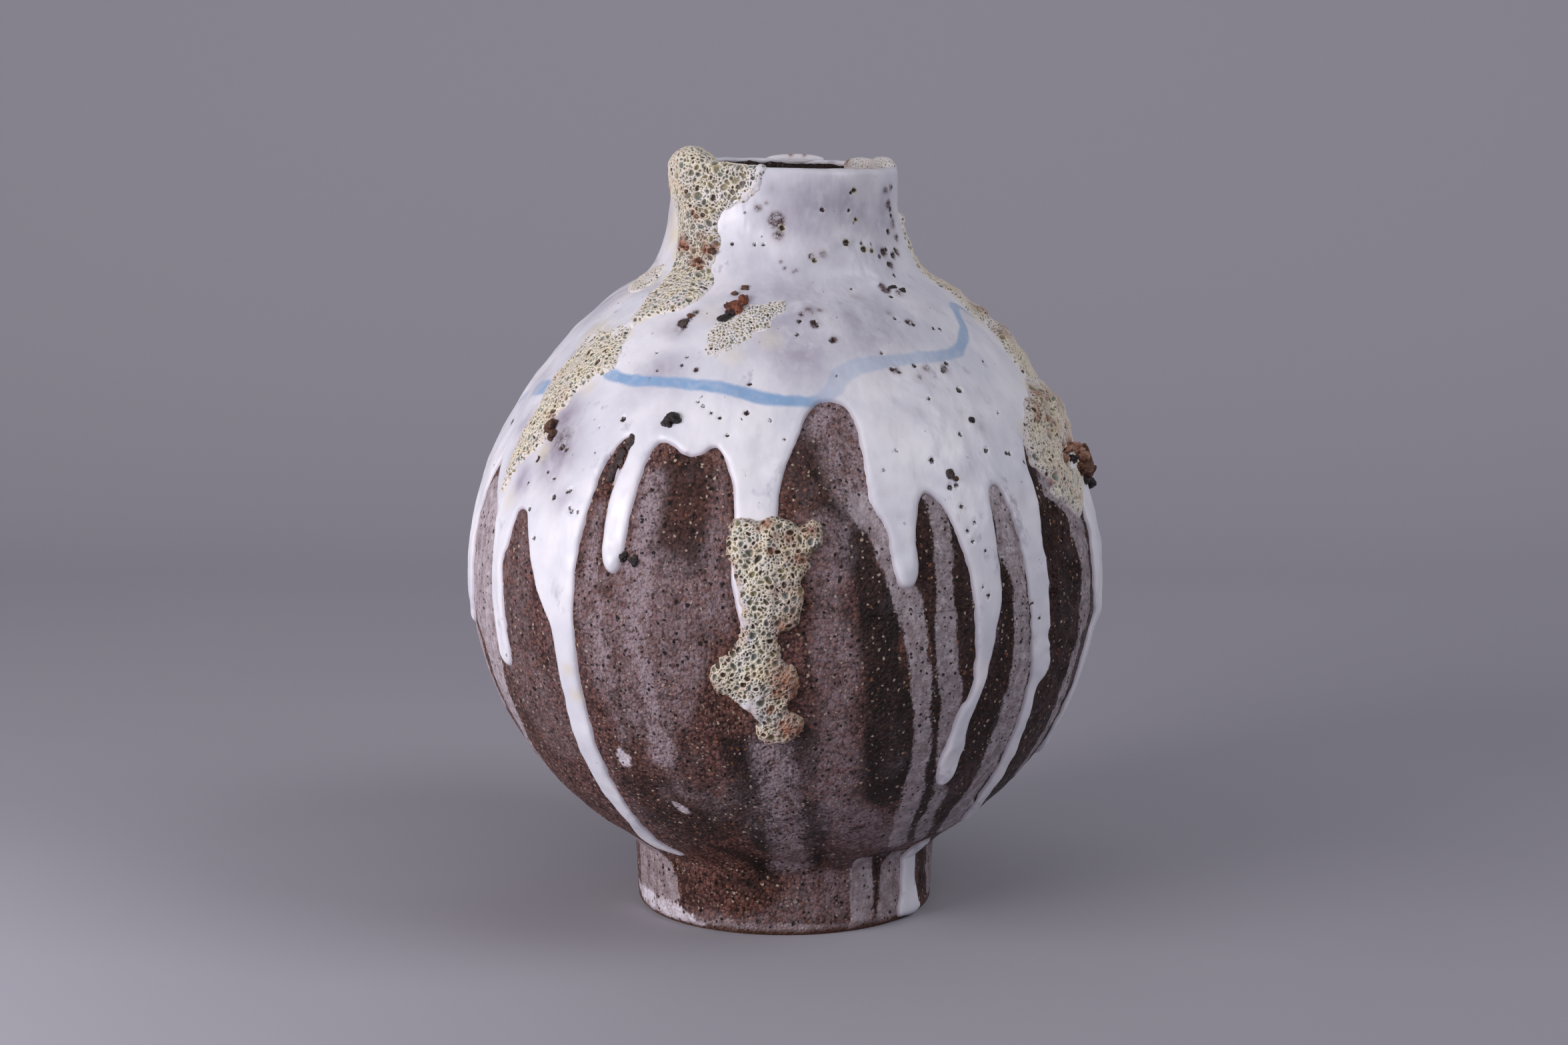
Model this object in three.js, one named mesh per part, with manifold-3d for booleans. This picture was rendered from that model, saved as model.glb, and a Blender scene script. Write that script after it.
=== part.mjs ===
// A hand-made stoneware jar with a dripping glaze coat, cratered crusts and small stones.
// Millimetres, +Z up. The jar stands on z = 0 and its axis is the z axis.
// Azimuths are in degrees: 0 faces -Y and they grow towards +X.
import * as THREE from 'three';
import { mergeVertices } from 'three/addons/utils/BufferGeometryUtils.js';
import Module from 'manifold-3d';

const wasm = await Module();
wasm.setup();

// Foot ring
const footHeight = 29;
const footRadius = 64;
const footTopRadius = 65;
const footWall = 9;
const footChamfer = 1.5;

// Body, two bowls luted at the widest line
const bellyRadius = 136;
const bellyHeight = 150;
const bodyWall = 6;
const floorThickness = 9;
const creaseRise = 5;
const shoulderHeight = 271;
const shoulderRadius = 59.5;
const shoulderRise = 58;
const shoulderRun = 17.5;
const shoulderDrop = 3;

// Neck and lip
const neckHeight = 49;
const neckWaist = 47.2;
const neckWaistDrop = 16;
const neckRootRise = 1.5;
const neckCurveRise = 18;
const neckBaseWall = 7.5;
const lipRadius = 47.5;
const lipThickness = 4;
const rimDip = 1.5;

// Glaze coat and what is seated on the clay
const seatGap = 0.3;
const roomGap = 0.5;
const coatThickness = 1.3;
const coatInside = 12;
const rootDepth = 1.8;
const beadExtra = 1.2;
const beadedWidth = 11;
const crustRoughness = 0.11;
const crustFullness = 0.5;
const stoneRoughness = 0.16;
const pitSize = 3.4;
const pittedThickness = 4.2;
const pitSpread = 0.62;
const pitsPerLump = 2;
const dripOverlap = 12;
const flareLength = 26;

// How finely the round forms are cut
const turnSteps = 32;
const bowlSteps = 7;
const shoulderSteps = 7;
const neckSteps = 4;
const lipSteps = 3;
const skirtSteps = turnSteps;
const sideStep = 45;
const curveSteps = 2;
const pebbleSize = 6;

const rimHeight = shoulderHeight + neckHeight;
const neckBaseRadius = shoulderRadius - neckBaseWall;
const floorHeight = footHeight + floorThickness;
const degree = Math.PI / 180;

// Solids from closed geometries

function flipFaces(index) {
  for (let i = 0; i < index.length; i += 3) {
    const second = index[i + 1];
    index[i + 1] = index[i + 2];
    index[i + 2] = second;
  }
}

function signedVolume(position, index) {
  const corners = [new THREE.Vector3(), new THREE.Vector3(), new THREE.Vector3()];
  let volume = 0;
  for (let i = 0; i < index.length; i += 3) {
    corners.forEach((corner, k) => corner.fromBufferAttribute(position, index[i + k]));
    volume += corners[0].dot(corners[1].clone().cross(corners[2])) / 6;
  }
  return volume;
}

function bareGeometry(geometry) {
  const bare = geometry.clone();
  bare.deleteAttribute('normal');
  bare.deleteAttribute('uv');
  return mergeVertices(bare, 1e-4);
}

function toSolid(geometry) {
  const merged = bareGeometry(geometry);
  const all = Array.from(merged.index.array);
  const index = [];
  for (let i = 0; i < all.length; i += 3) {
    const [a, b, c] = all.slice(i, i + 3);
    if (a !== b && b !== c && c !== a) {
      index.push(a, b, c);
    }
  }
  if (signedVolume(merged.attributes.position, index) < 0) {
    flipFaces(index);
  }
  const vertProperties = new Float32Array(merged.attributes.position.array);
  const triVerts = new Uint32Array(index);
  return new wasm.Manifold(new wasm.Mesh({ numProp: 3, vertProperties, triVerts }));
}

function joined(solids) {
  return solids.reduce((sum, solid) => sum.add(solid));
}

function largestPiece(solid) {
  const pieces = solid.decompose();
  return pieces.reduce((best, piece) => (piece.volume() > best.volume() ? piece : best));
}

function toMesh(name, solid, material) {
  const { vertProperties, triVerts } = largestPiece(solid).getMesh();
  const geometry = new THREE.BufferGeometry();
  geometry.setAttribute('position', new THREE.BufferAttribute(new Float32Array(vertProperties), 3));
  geometry.setIndex(new THREE.BufferAttribute(new Uint32Array(triVerts), 1));
  geometry.computeVertexNormals();
  const mesh = new THREE.Mesh(geometry, material);
  mesh.name = name;
  return mesh;
}

// The rim is not quite level: it sinks towards +X, and only above the shoulder seam.
function settleRim(point) {
  const rise = THREE.MathUtils.clamp((point.z - shoulderHeight) / neckHeight, 0, 1);
  point.z -= rimDip * (point.x / lipRadius) * rise * rise;
  return point;
}

function reshape(geometry, move) {
  const position = geometry.attributes.position;
  const point = new THREE.Vector3();
  for (let i = 0; i < position.count; i += 1) {
    const moved = move(point.fromBufferAttribute(position, i));
    position.setXYZ(i, moved.x, moved.y, moved.z);
  }
  return geometry;
}

function revolved(profile) {
  const lathe = new THREE.LatheGeometry([...profile, profile[0]], turnSteps);
  lathe.rotateX(Math.PI / 2);
  return toSolid(reshape(lathe, settleRim));
}

// Profiles, as points of radius and height that run up the outside

function footSide() {
  return [new THREE.Vector2(footRadius, footChamfer), new THREE.Vector2(footTopRadius, footHeight)];
}

function bowlSide(inset, startHeight) {
  const radius = bellyRadius - inset;
  const startAngle = Math.asin((startHeight - bellyHeight) / radius);
  return new THREE.EllipseCurve(0, bellyHeight, radius, radius, startAngle, 0).getPoints(bowlSteps);
}

function shoulderCurve() {
  return new THREE.CubicBezierCurve(
    new THREE.Vector2(bellyRadius, bellyHeight),
    new THREE.Vector2(bellyRadius, bellyHeight + shoulderRise),
    new THREE.Vector2(shoulderRadius + shoulderRun, shoulderHeight - shoulderDrop),
    new THREE.Vector2(shoulderRadius, shoulderHeight),
  );
}

function neckSide() {
  const waistHeight = rimHeight - neckWaistDrop;
  const curve = new THREE.CubicBezierCurve(
    new THREE.Vector2(shoulderRadius, shoulderHeight),
    new THREE.Vector2(shoulderRadius - neckRootRise, shoulderHeight + neckRootRise),
    new THREE.Vector2(neckWaist + neckRootRise, waistHeight - neckCurveRise),
    new THREE.Vector2(neckWaist, waistHeight),
  );
  return curve.getPoints(neckSteps);
}

function lipTurn() {
  const radius = lipThickness / 2;
  const lip = new THREE.EllipseCurve(lipRadius - radius, rimHeight - radius, radius, radius, 0, Math.PI);
  return lip.getPoints(lipSteps);
}

// The throat is straight as deep as the glaze reaches, and below it the wall grows to its base.
function throatEnd() {
  return new THREE.Vector2(lipRadius - lipThickness, rimHeight - coatInside);
}

function neckInside() {
  const throat = throatEnd();
  const below = neckSide().reverse().filter((point) => point.y < throat.y);
  const wallPoints = below.map((point) => {
    const depth = (throat.y - point.y) / (throat.y - shoulderHeight);
    const thickness = THREE.MathUtils.lerp(lipThickness, neckBaseWall, depth);
    return new THREE.Vector2(point.x - thickness, point.y);
  });
  return [throat, ...wallPoints];
}

function shoulderInside() {
  const curve = shoulderCurve();
  const points = [new THREE.Vector2(bellyRadius - bodyWall, bellyHeight)];
  for (let i = 1; i < shoulderSteps; i += 1) {
    const t = i / shoulderSteps;
    const tangent = curve.getTangent(t);
    const inward = new THREE.Vector2(-tangent.y, tangent.x).multiplyScalar(bodyWall);
    points.push(curve.getPoint(t).add(inward));
  }
  return points.filter((point) => point.x > neckBaseRadius);
}

// Wall path: the outside from the foot to the lip, over the lip and down inside the neck

function wallPath() {
  return [
    ...footSide(),
    ...bowlSide(0, footHeight + creaseRise),
    ...shoulderCurve().getPoints(shoulderSteps).slice(1),
    ...neckSide().slice(1),
    ...lipTurn(),
    throatEnd(),
  ];
}

function segmentNormal(from, to) {
  return new THREE.Vector2(to.y - from.y, from.x - to.x).normalize();
}

function pathNormals(points) {
  return points.map((point, i) => {
    const before = points[Math.max(i - 1, 0)];
    const after = points[Math.min(i + 1, points.length - 1)];
    const first = i > 0 ? segmentNormal(before, point) : segmentNormal(point, after);
    const second = i < points.length - 1 ? segmentNormal(point, after) : first;
    const middle = first.clone().add(second).normalize();
    return middle.divideScalar(middle.dot(first));
  });
}

const wall = wallPath();
const wallNormals = pathNormals(wall);
const wallLengths = [0];
for (let i = 1; i < wall.length; i += 1) {
  wallLengths.push(wallLengths[i - 1] + wall[i].distanceTo(wall[i - 1]));
}
const lipTop = wall.reduce((best, point, i) => (point.y > wall[best].y ? i : best), 0);

function offsetWall(distance) {
  return wall.map((point, i) => point.clone().addScaledVector(wallNormals[i], distance));
}

// Length along the wall at an outside height. Above the rim the height counts on over the lip.
function alongAt(height) {
  if (height > rimHeight) {
    return wallLengths[lipTop] + height - rimHeight;
  }
  const above = wall.findIndex((point) => point.y >= height);
  if (above <= 0) {
    return wallLengths[0];
  }
  const share = (height - wall[above - 1].y) / (wall[above].y - wall[above - 1].y);
  return THREE.MathUtils.lerp(wallLengths[above - 1], wallLengths[above], share);
}

function onWall(along, out) {
  const next = wallLengths.findIndex((length) => length >= along);
  const i = next < 0 ? wall.length - 1 : Math.max(next, 1);
  const share = (along - wallLengths[i - 1]) / (wallLengths[i] - wallLengths[i - 1]);
  const kept = THREE.MathUtils.clamp(share, 0, 1);
  const normal = wallNormals[i - 1].clone().lerp(wallNormals[i], kept);
  return wall[i - 1].clone().lerp(wall[i], kept).addScaledVector(normal, out);
}

function turned(azimuth, radius, height) {
  const angle = azimuth * degree;
  return new THREE.Vector3(radius * Math.sin(angle), -radius * Math.cos(angle), height);
}

// Clay pieces

function footRing() {
  const inner = footRadius - footWall;
  return revolved([
    new THREE.Vector2(inner + footChamfer, 0),
    new THREE.Vector2(footRadius - footChamfer, 0),
    ...footSide(),
    new THREE.Vector2(footTopRadius - footWall, footHeight),
    new THREE.Vector2(inner, footChamfer),
  ]);
}

function lowerBowl() {
  const inside = bowlSide(bodyWall, floorHeight).reverse();
  return revolved([
    new THREE.Vector2(0, footHeight),
    new THREE.Vector2(footTopRadius, footHeight),
    ...bowlSide(0, footHeight + creaseRise),
    ...inside,
    new THREE.Vector2(0, floorHeight),
  ]);
}

function upperBowl() {
  const inside = shoulderInside().reverse();
  return revolved([
    ...shoulderCurve().getPoints(shoulderSteps),
    new THREE.Vector2(neckBaseRadius, shoulderHeight),
    new THREE.Vector2(neckBaseRadius, shoulderHeight - bodyWall),
    ...inside,
  ]);
}

function neckCollar() {
  return revolved([...neckSide(), ...lipTurn(), ...neckInside()]);
}

// What is seated on the clay stays outside its skin, and what is seated on the glaze outside that skin.
function skinSolid(distance) {
  const skin = offsetWall(distance);
  const last = skin[skin.length - 1];
  const below = new THREE.Vector2(last.x, last.y - seatGap);
  return revolved([new THREE.Vector2(0, skin[0].y), ...skin, below, new THREE.Vector2(0, below.y)]);
}

// Lumps: rough ellipsoids wrapped on the wall. They build the crusts, the stones and the beads.
// A fullness under 1 makes a lump flat on top with a steep edge.

function roughness(direction, amount, seed) {
  const wave = Math.sin(5.3 * direction.x + 1.7 * seed) * Math.sin(4.7 * direction.y + 2.9 * seed)
    + Math.sin(6.1 * direction.z + 0.6 * seed) * Math.sin(3.9 * direction.x - 1.1 * seed);
  return 1 + amount * wave;
}

function wrappedLump(lump, grow) {
  const low = alongAt(lump.low);
  const high = alongAt(lump.high);
  const middle = (low + high) / 2;
  const radius = onWall(middle, 0).x;
  const halfAcross = ((lump.to - lump.from) / 2) * degree * radius;
  const azimuth = (lump.from + lump.to) / 2;
  const ball = bareGeometry(new THREE.IcosahedronGeometry(1, lump.detail));
  return toSolid(reshape(ball, (direction) => {
    const rough = roughness(direction, lump.rough, lump.low + lump.to);
    const across = direction.x * (halfAcross * rough + grow);
    const up = direction.y * ((high - low) / 2 * rough + grow);
    const raised = Math.max(direction.z, 0) ** lump.fullness * (lump.proud * rough + grow);
    const out = direction.z > 0 ? raised : direction.z * rootDepth;
    const spot = onWall(middle + up, out);
    const side = across / radius / degree;
    return settleRim(turned(azimuth + side, spot.x, spot.y));
  }));
}

// A knob is a rough ellipsoid that sits astride the lip, so the lip cuts it from below.
function knobSolid(knob, grow) {
  const centre = turned(knob.azimuth, lipRadius - lipThickness / 2, rimHeight + knob.rise);
  const ball = bareGeometry(new THREE.IcosahedronGeometry(1, 1));
  return toSolid(reshape(ball, (direction) => {
    const rough = roughness(direction, crustRoughness, knob.across);
    const across = direction.x * (knob.across * rough + grow);
    const deep = direction.y * (knob.deep * rough + grow);
    const up = direction.z * (knob.up * rough + grow);
    const local = new THREE.Vector3(across, -deep, up);
    local.applyAxisAngle(new THREE.Vector3(0, 0, 1), knob.azimuth * degree);
    return settleRim(local.add(centre));
  }));
}

// Lumps as two azimuths, two heights above a seam of the jar, and how far they stand proud of the clay
function lumpsFrom(seam, rows) {
  const look = { detail: 1, rough: crustRoughness, fullness: crustFullness };
  return rows.map(([from, to, low, high, proud]) => (
    { from, to, low: seam + low, high: seam + high, proud, ...look }
  ));
}

function stoneLump(azimuth, height, across, up, proud) {
  const radius = onWall(alongAt(height), 0).x;
  const half = across / 2 / radius / degree;
  const low = height - up / 2;
  const high = height + up / 2;
  const detail = Math.max(across, up) > pebbleSize ? 1 : 0;
  const look = { detail, rough: stoneRoughness, fullness: 1 };
  return { from: azimuth - half, to: azimuth + half, low, high, proud, ...look };
}

function crustBody(crust, grow) {
  const lumps = crust.lumps.map((lump) => wrappedLump(lump, grow));
  const knobs = crust.knobs.map((knob) => knobSolid(knob, grow));
  return joined([...lumps, ...knobs]);
}

// Open bubbles: the pits lie on a golden-angle spiral round the middle of a thick lump.
function pitsOn(lump) {
  if (lump.proud < pittedThickness) {
    return [];
  }
  const turn = 137.5 * degree;
  const halfTurn = (lump.to - lump.from) / 2;
  const halfRise = (lump.high - lump.low) / 2;
  return Array.from({ length: pitsPerLump }, (_, i) => {
    const reach = pitSpread * Math.sqrt((i + 0.5) / pitsPerLump);
    return {
      azimuth: lump.from + halfTurn + reach * Math.cos(turn * i) * halfTurn,
      height: lump.low + halfRise + reach * Math.sin(turn * i) * halfRise,
      out: lump.proud * (1 - reach * reach) ** (lump.fullness / 2),
    };
  });
}

function pitSolid(pit) {
  const spot = onWall(alongAt(pit.height), pit.out);
  const centre = settleRim(turned(pit.azimuth, spot.x, spot.y));
  const ball = new THREE.IcosahedronGeometry(pitSize / 2, 0);
  return toSolid(ball.translate(centre.x, centre.y, centre.z));
}

const leftRun = lumpsFrom(shoulderHeight, [
  [-44, -9, 35, 47.5, 3.6],
  [-71, -36, 24, 45, 4.4],
  [-64, -32, 6, 32, 4.6],
  [-57, -30, -13, 14, 4.4],
  [-56, -45, -27, -2, 4],
  [-68, -46, -38, -14, 4.4],
  [-67, -52, -60, -28, 4],
  [-66, -56, -84, -50, 3.6],
]);
const flatPatch = lumpsFrom(shoulderHeight, [[-79, -66, -3, 8, 3.2]]);
const shoulderPatch = lumpsFrom(shoulderHeight, [
  [-21, -9, -24, -8, 3.2],
  [-14, -1, -16, -5, 3],
]);
const bellyPatch = lumpsFrom(bellyHeight, [
  [-10, 4.6, -4, 40, 4.6],
  [-2, 7, 23, 40, 4.2],
  [-7.6, -0.8, -22, 8, 3.4],
  [-13, -1, -35, -11, 3.8],
  [-4.6, 2.8, -44, -17, 3.4],
  [-5.6, 3, -54, -37, 3.4],
]);
const rightUpper = lumpsFrom(shoulderHeight, [
  [77, 99, -27, -8, 6.6],
  [75, 97, -39, -22, 5.6],
]);
const rightLower = lumpsFrom(shoulderHeight, [
  [56, 73, -76, -50, 4.2],
  [62, 86, -65, -43, 6.8],
  [74, 99, -69, -46, 6.8],
  [59, 75, -94, -64, 4],
]);
const leftKnobs = [{ azimuth: -57, rise: -1.3, across: 13, deep: 9.4, up: 10.4 }];
const rightRimKnobs = [
  { azimuth: 113, rise: -1.5, across: 10, deep: 5.6, up: 6.4 },
  { azimuth: 130, rise: -2, across: 10, deep: 5.2, up: 5.8 },
];
const backKnobs = [{ azimuth: 174, rise: -2, across: 12, deep: 5.2, up: 5.6 }];

// Stones on the glaze, and stones that sit on the clay beside it
const glazeStones = {
  black_shoulder_stone: stoneLump(-23.5, shoulderHeight - 49, 8, 5.5, 5.6),
  shoulder_clinker: stoneLump(-15.8, shoulderHeight - 6.5, 11, 6, 5.6),
  shoulder_pebble: stoneLump(-15.3, shoulderHeight + 0.3, 4, 2.6, 3.2),
  left_neck_clinker: stoneLump(-50.5, shoulderHeight + 17, 7, 7, 7.4),
  right_neck_clinker: stoneLump(-36, shoulderHeight + 15.5, 7, 6, 7),
  left_shoulder_pebble: stoneLump(-30, shoulderHeight - 10.5, 5, 4, 3.6),
  brown_shoulder_stone: stoneLump(-54.5, shoulderHeight - 55.5, 7, 9, 7),
  right_drip_stone: stoneLump(32.3, shoulderHeight - 69.5, 4.6, 5, 3.8),
  right_shoulder_stone: stoneLump(46, shoulderHeight - 2, 6, 4, 3.4),
  right_shoulder_pebble: stoneLump(42, shoulderHeight - 50.4, 4.6, 3.4, 3.6),
};
const clayStones = {
  slot_chip: stoneLump(-32.4, shoulderHeight - 62, 6, 17, 2.4),
  drip_pebble_left: stoneLump(-28.3, shoulderHeight - 100, 3.6, 4.4, 2.6),
  drip_pebble_right: stoneLump(-26.2, shoulderHeight - 101, 4, 4, 2.6),
  hook_clinker: stoneLump(84, shoulderHeight - 76.5, 40, 17, 9),
};

// Glaze coat: a shell round the wall, cut along the skirt line and the outlines of the drips

// The line where the coat would end without its drips, as azimuth and depth below the shoulder seam
const skirtLine = [
  [-160, 75], [-144, 65], [-128, 81], [-112, 67], [-98, 79], [-84, 74], [-71, 71], [-64, 85],
  [-55, 87], [-46, 81], [-38, 60], [-33, 55], [-24, 56], [-18, 61], [-13, 57], [-5, 61],
  [3, 49], [8, 40], [14, 49], [20, 75], [27, 75], [34, 75], [42, 74], [49, 72], [55, 65],
  [64, 55], [78, 57], [92, 67], [106, 64], [121, 77], [135, 66], [150, 79], [164, 68], [179, 77],
];

// Each drip: azimuth at its root and at its tip, half width, flare at the root, root and tip heights.
// Roots hang from the shoulder seam, short tips too. Longer drips end near the belly line or above the foot.
const drips = [
  { root: -77, end: -77, half: 5.3, flare: 3, top: shoulderHeight - 71, tip: bellyHeight - 23 },
  { root: -61, end: -59.4, half: 5.2, flare: 7, top: shoulderHeight - 81, tip: bellyHeight - 32 },
  { root: -44, end: -42.3, half: 5.8, flare: 11, top: shoulderHeight - 91, tip: footHeight + 5 },
  { root: -30.4, end: -30.4, half: 4.7, flare: 2.5, top: shoulderHeight - 59, tip: shoulderHeight - 106 },
  { root: -5, end: -5, half: 8.6, flare: 5, top: shoulderHeight - 59, tip: shoulderHeight - 89 },
  { root: 19.6, end: 20.8, half: 5.4, flare: 5, top: shoulderHeight - 79, tip: shoulderHeight - 109 },
  { root: 35.6, end: 34.4, half: 5.2, flare: 6, top: shoulderHeight - 77, tip: footHeight + 44.5 },
  { root: 48.6, end: 51.6, half: 6.8, flare: 3, top: shoulderHeight - 73, tip: bellyHeight - 37 },
  { root: 50.6, end: 57.5, half: 4.6, flare: 0, top: bellyHeight - 26, tip: footHeight + 19 },
  { root: 103, end: 103, half: 6, flare: 4, top: shoulderHeight - 69, tip: shoulderHeight - 121 },
  { root: 122, end: 121, half: 5, flare: 6, top: shoulderHeight - 75, tip: bellyHeight - 54 },
  { root: 143, end: 143.5, half: 7, flare: 4, top: shoulderHeight - 69, tip: shoulderHeight - 105 },
  { root: 163, end: 163, half: 5.5, flare: 7, top: shoulderHeight - 73, tip: footHeight + 35 },
  { root: 183, end: 182, half: 6.5, flare: 4, top: shoulderHeight - 75, tip: bellyHeight - 18 },
  { root: 203, end: 204, half: 6, flare: 6, top: shoulderHeight - 73, tip: bellyHeight - 62 },
  { root: 223, end: 223, half: 6, flare: 4, top: shoulderHeight - 77, tip: shoulderHeight - 121 },
  { root: 244, end: 244.5, half: 6, flare: 6, top: shoulderHeight - 71, tip: footHeight + 23 },
  { root: 264, end: 264, half: 6, flare: 4, top: shoulderHeight - 77, tip: bellyHeight - 42 },
];
const rightRun = [
  { root: 74.6, end: 80, half: 8, flare: 0, top: shoulderHeight - 99, tip: bellyHeight - 22 },
  { root: 75, end: 79, half: 6, flare: 0, top: bellyHeight, tip: footHeight + 45 },
];

const farRadius = bellyRadius + 40;
const nearRadius = lipRadius - lipThickness - 20;

function ringBetween(lowerEdge, upperHeight) {
  const ring = [];
  for (let i = 0; i < skirtSteps; i += 1) {
    const azimuth = (360 * i) / skirtSteps;
    const edge = lowerEdge(azimuth);
    ring.push(turned(azimuth, nearRadius, edge), turned(azimuth, farRadius, edge));
    ring.push(turned(azimuth, farRadius, upperHeight), turned(azimuth, nearRadius, upperHeight));
  }
  const index = [];
  for (let i = 0; i < skirtSteps; i += 1) {
    const here = 4 * i;
    const next = 4 * ((i + 1) % skirtSteps);
    for (let k = 0; k < 4; k += 1) {
      const other = (k + 1) % 4;
      index.push(here + k, next + k, next + other, here + k, next + other, here + other);
    }
  }
  const geometry = new THREE.BufferGeometry().setFromPoints(ring);
  geometry.setIndex(index);
  return toSolid(geometry);
}

function skirtEdge(azimuth) {
  const turn = ((azimuth - skirtLine[0][0]) % 360 + 360) % 360 + skirtLine[0][0];
  const count = skirtLine.length;
  const after = skirtLine.findIndex((point) => point[0] > turn);
  const right = after < 0 ? 0 : after;
  const left = (right + count - 1) % count;
  const width = ((skirtLine[right][0] - skirtLine[left][0]) % 360 + 360) % 360;
  const share = (turn - skirtLine[left][0]) / width;
  const eased = share * share * (3 - 2 * share);
  return shoulderHeight - THREE.MathUtils.lerp(skirtLine[left][1], skirtLine[right][1], eased);
}

function dripOutline(drip) {
  const wide = drip.half + drip.flare;
  const capHeight = drip.tip + drip.half;
  const flareEnd = Math.max(drip.top - flareLength, capHeight + 1);
  const bend = (drip.top - flareEnd) / 2;
  const steps = Math.ceil((flareEnd - capHeight) / sideStep);
  const outline = new THREE.Shape();
  outline.moveTo(-wide, drip.top + dripOverlap);
  outline.lineTo(-wide, drip.top);
  outline.bezierCurveTo(-wide, drip.top - bend, -drip.half, flareEnd + bend, -drip.half, flareEnd);
  for (let i = 1; i <= steps; i += 1) {
    outline.lineTo(-drip.half, THREE.MathUtils.lerp(flareEnd, capHeight, i / steps));
  }
  outline.absarc(0, capHeight, drip.half, Math.PI, 2 * Math.PI);
  for (let i = steps - 1; i >= 0; i -= 1) {
    outline.lineTo(drip.half, THREE.MathUtils.lerp(flareEnd, capHeight, i / steps));
  }
  outline.bezierCurveTo(drip.half, flareEnd + bend, wide, drip.top - bend, wide, drip.top);
  outline.lineTo(wide, drip.top + dripOverlap);
  return outline;
}

function dripWedge(drip) {
  const depth = farRadius - nearRadius;
  const slab = new THREE.ExtrudeGeometry(dripOutline(drip), { depth, bevelEnabled: false, curveSegments: curveSteps });
  return toSolid(reshape(slab, (point) => {
    const share = (drip.top - point.y) / (drip.top - drip.tip);
    const azimuth = THREE.MathUtils.lerp(drip.root, drip.end, THREE.MathUtils.clamp(share, 0, 1));
    const side = point.x / onWall(alongAt(point.y), 0).x / degree;
    return turned(azimuth + side, nearRadius + point.z, point.y);
  }));
}

// The glaze gathers in a thicker bead at the end of a drip.
function dripBead(drip) {
  const side = drip.half / onWall(alongAt(drip.tip + drip.half), 0).x / degree;
  const bead = {
    from: drip.end - side,
    to: drip.end + side,
    low: drip.tip + 0.2,
    high: drip.tip + 3 * drip.half,
    proud: seatGap + coatThickness + beadExtra,
    detail: 1,
    rough: 0,
    fullness: 1,
  };
  return wrappedLump(bead, 0);
}

// The shell reaches a little into the clay and is trimmed to its seat afterwards.
function glazeShell() {
  const outer = offsetWall(seatGap + coatThickness).slice(1);
  const inner = offsetWall(-lipThickness / 4).slice(1).reverse();
  return revolved([...outer, ...inner]);
}

// Assembly: clay first, then stones, then crusts round the stones, then glaze round what meets the clay

const clayTop = skinSolid(seatGap);
const glazeTop = skinSolid(seatGap + coatThickness + seatGap);
const glazeCrusts = {
  left_crust_run: { lumps: leftRun, knobs: leftKnobs },
  left_flat_patch: { lumps: flatPatch, knobs: [] },
  front_shoulder_patch: { lumps: shoulderPatch, knobs: [] },
  right_crust_upper: { lumps: rightUpper, knobs: [] },
  right_rim_crust: { lumps: [], knobs: rightRimKnobs },
  back_rim_bump: { lumps: [], knobs: backKnobs },
};
const clayCrusts = {
  belly_crust: { lumps: bellyPatch, knobs: [] },
  right_crust_lower: { lumps: rightLower, knobs: [] },
};

function roomFor(stones) {
  return joined(Object.values(stones).map((stone) => wrappedLump(stone, roomGap)));
}

const clayStoneRoom = roomFor(clayStones);
const stoneRoom = roomFor(glazeStones).add(clayStoneRoom);
const crustRoom = joined(Object.values(clayCrusts).map((crust) => crustBody(crust, roomGap)));
const shell = glazeShell();

function crustSolid(crust, seat) {
  const body = crustBody(crust, 0).subtract(seat).subtract(stoneRoom);
  const pits = crust.lumps.flatMap(pitsOn).map(pitSolid);
  return pits.length > 0 ? body.subtract(joined(pits)) : body;
}

function isHeavy(drip) {
  return drip.half + drip.flare > beadedWidth;
}

function wedgesOf(runs) {
  return joined(runs.map(dripWedge));
}

function seated(solid) {
  return solid.subtract(clayTop).subtract(crustRoom).subtract(clayStoneRoom);
}

function glazeCoat() {
  const skirt = ringBetween(skirtEdge, rimHeight + 30);
  const beads = joined(drips.filter(isHeavy).map(dripBead));
  return seated(shell.intersect(skirt.add(wedgesOf(drips))).add(beads));
}

function rightGlazeRun() {
  const beads = joined(rightRun.map(dripBead));
  return seated(shell.intersect(wedgesOf(rightRun)).add(beads));
}

function footGlazeRun() {
  const look = { detail: 2, rough: 0.05, fullness: 1 };
  const run = { from: 49, to: 59.5, low: 3, high: footHeight - 1, proud: 2, ...look };
  return wrappedLump(run, 0).subtract(clayTop);
}

// Materials

function finish(color, roughness, metalness = 0) {
  return new THREE.MeshStandardMaterial({ color, roughness, metalness });
}

const clay = finish(0x54403c, 0.6);
const glaze = finish(0xcfcdd8, 0.25);
const crust = finish(0xcfc8b4, 0.7);
const stone = finish(0x33292a, 0.6);

const jar = new THREE.Group();
jar.add(toMesh('foot_ring', footRing(), clay));
jar.add(toMesh('lower_bowl', lowerBowl(), clay));
jar.add(toMesh('upper_bowl', upperBowl(), clay));
jar.add(toMesh('neck_collar', neckCollar(), clay));
jar.add(toMesh('white_glaze_coat', glazeCoat(), glaze));
jar.add(toMesh('right_glaze_run', rightGlazeRun(), glaze));
jar.add(toMesh('foot_glaze_run', footGlazeRun(), glaze));
Object.entries(glazeCrusts).forEach(([name, shape]) => {
  jar.add(toMesh(name, crustSolid(shape, glazeTop), crust));
});
Object.entries(clayCrusts).forEach(([name, shape]) => {
  jar.add(toMesh(name, crustSolid(shape, clayTop), crust));
});
Object.entries(glazeStones).forEach(([name, shape]) => {
  jar.add(toMesh(name, wrappedLump(shape, 0).subtract(glazeTop), stone));
});
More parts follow.
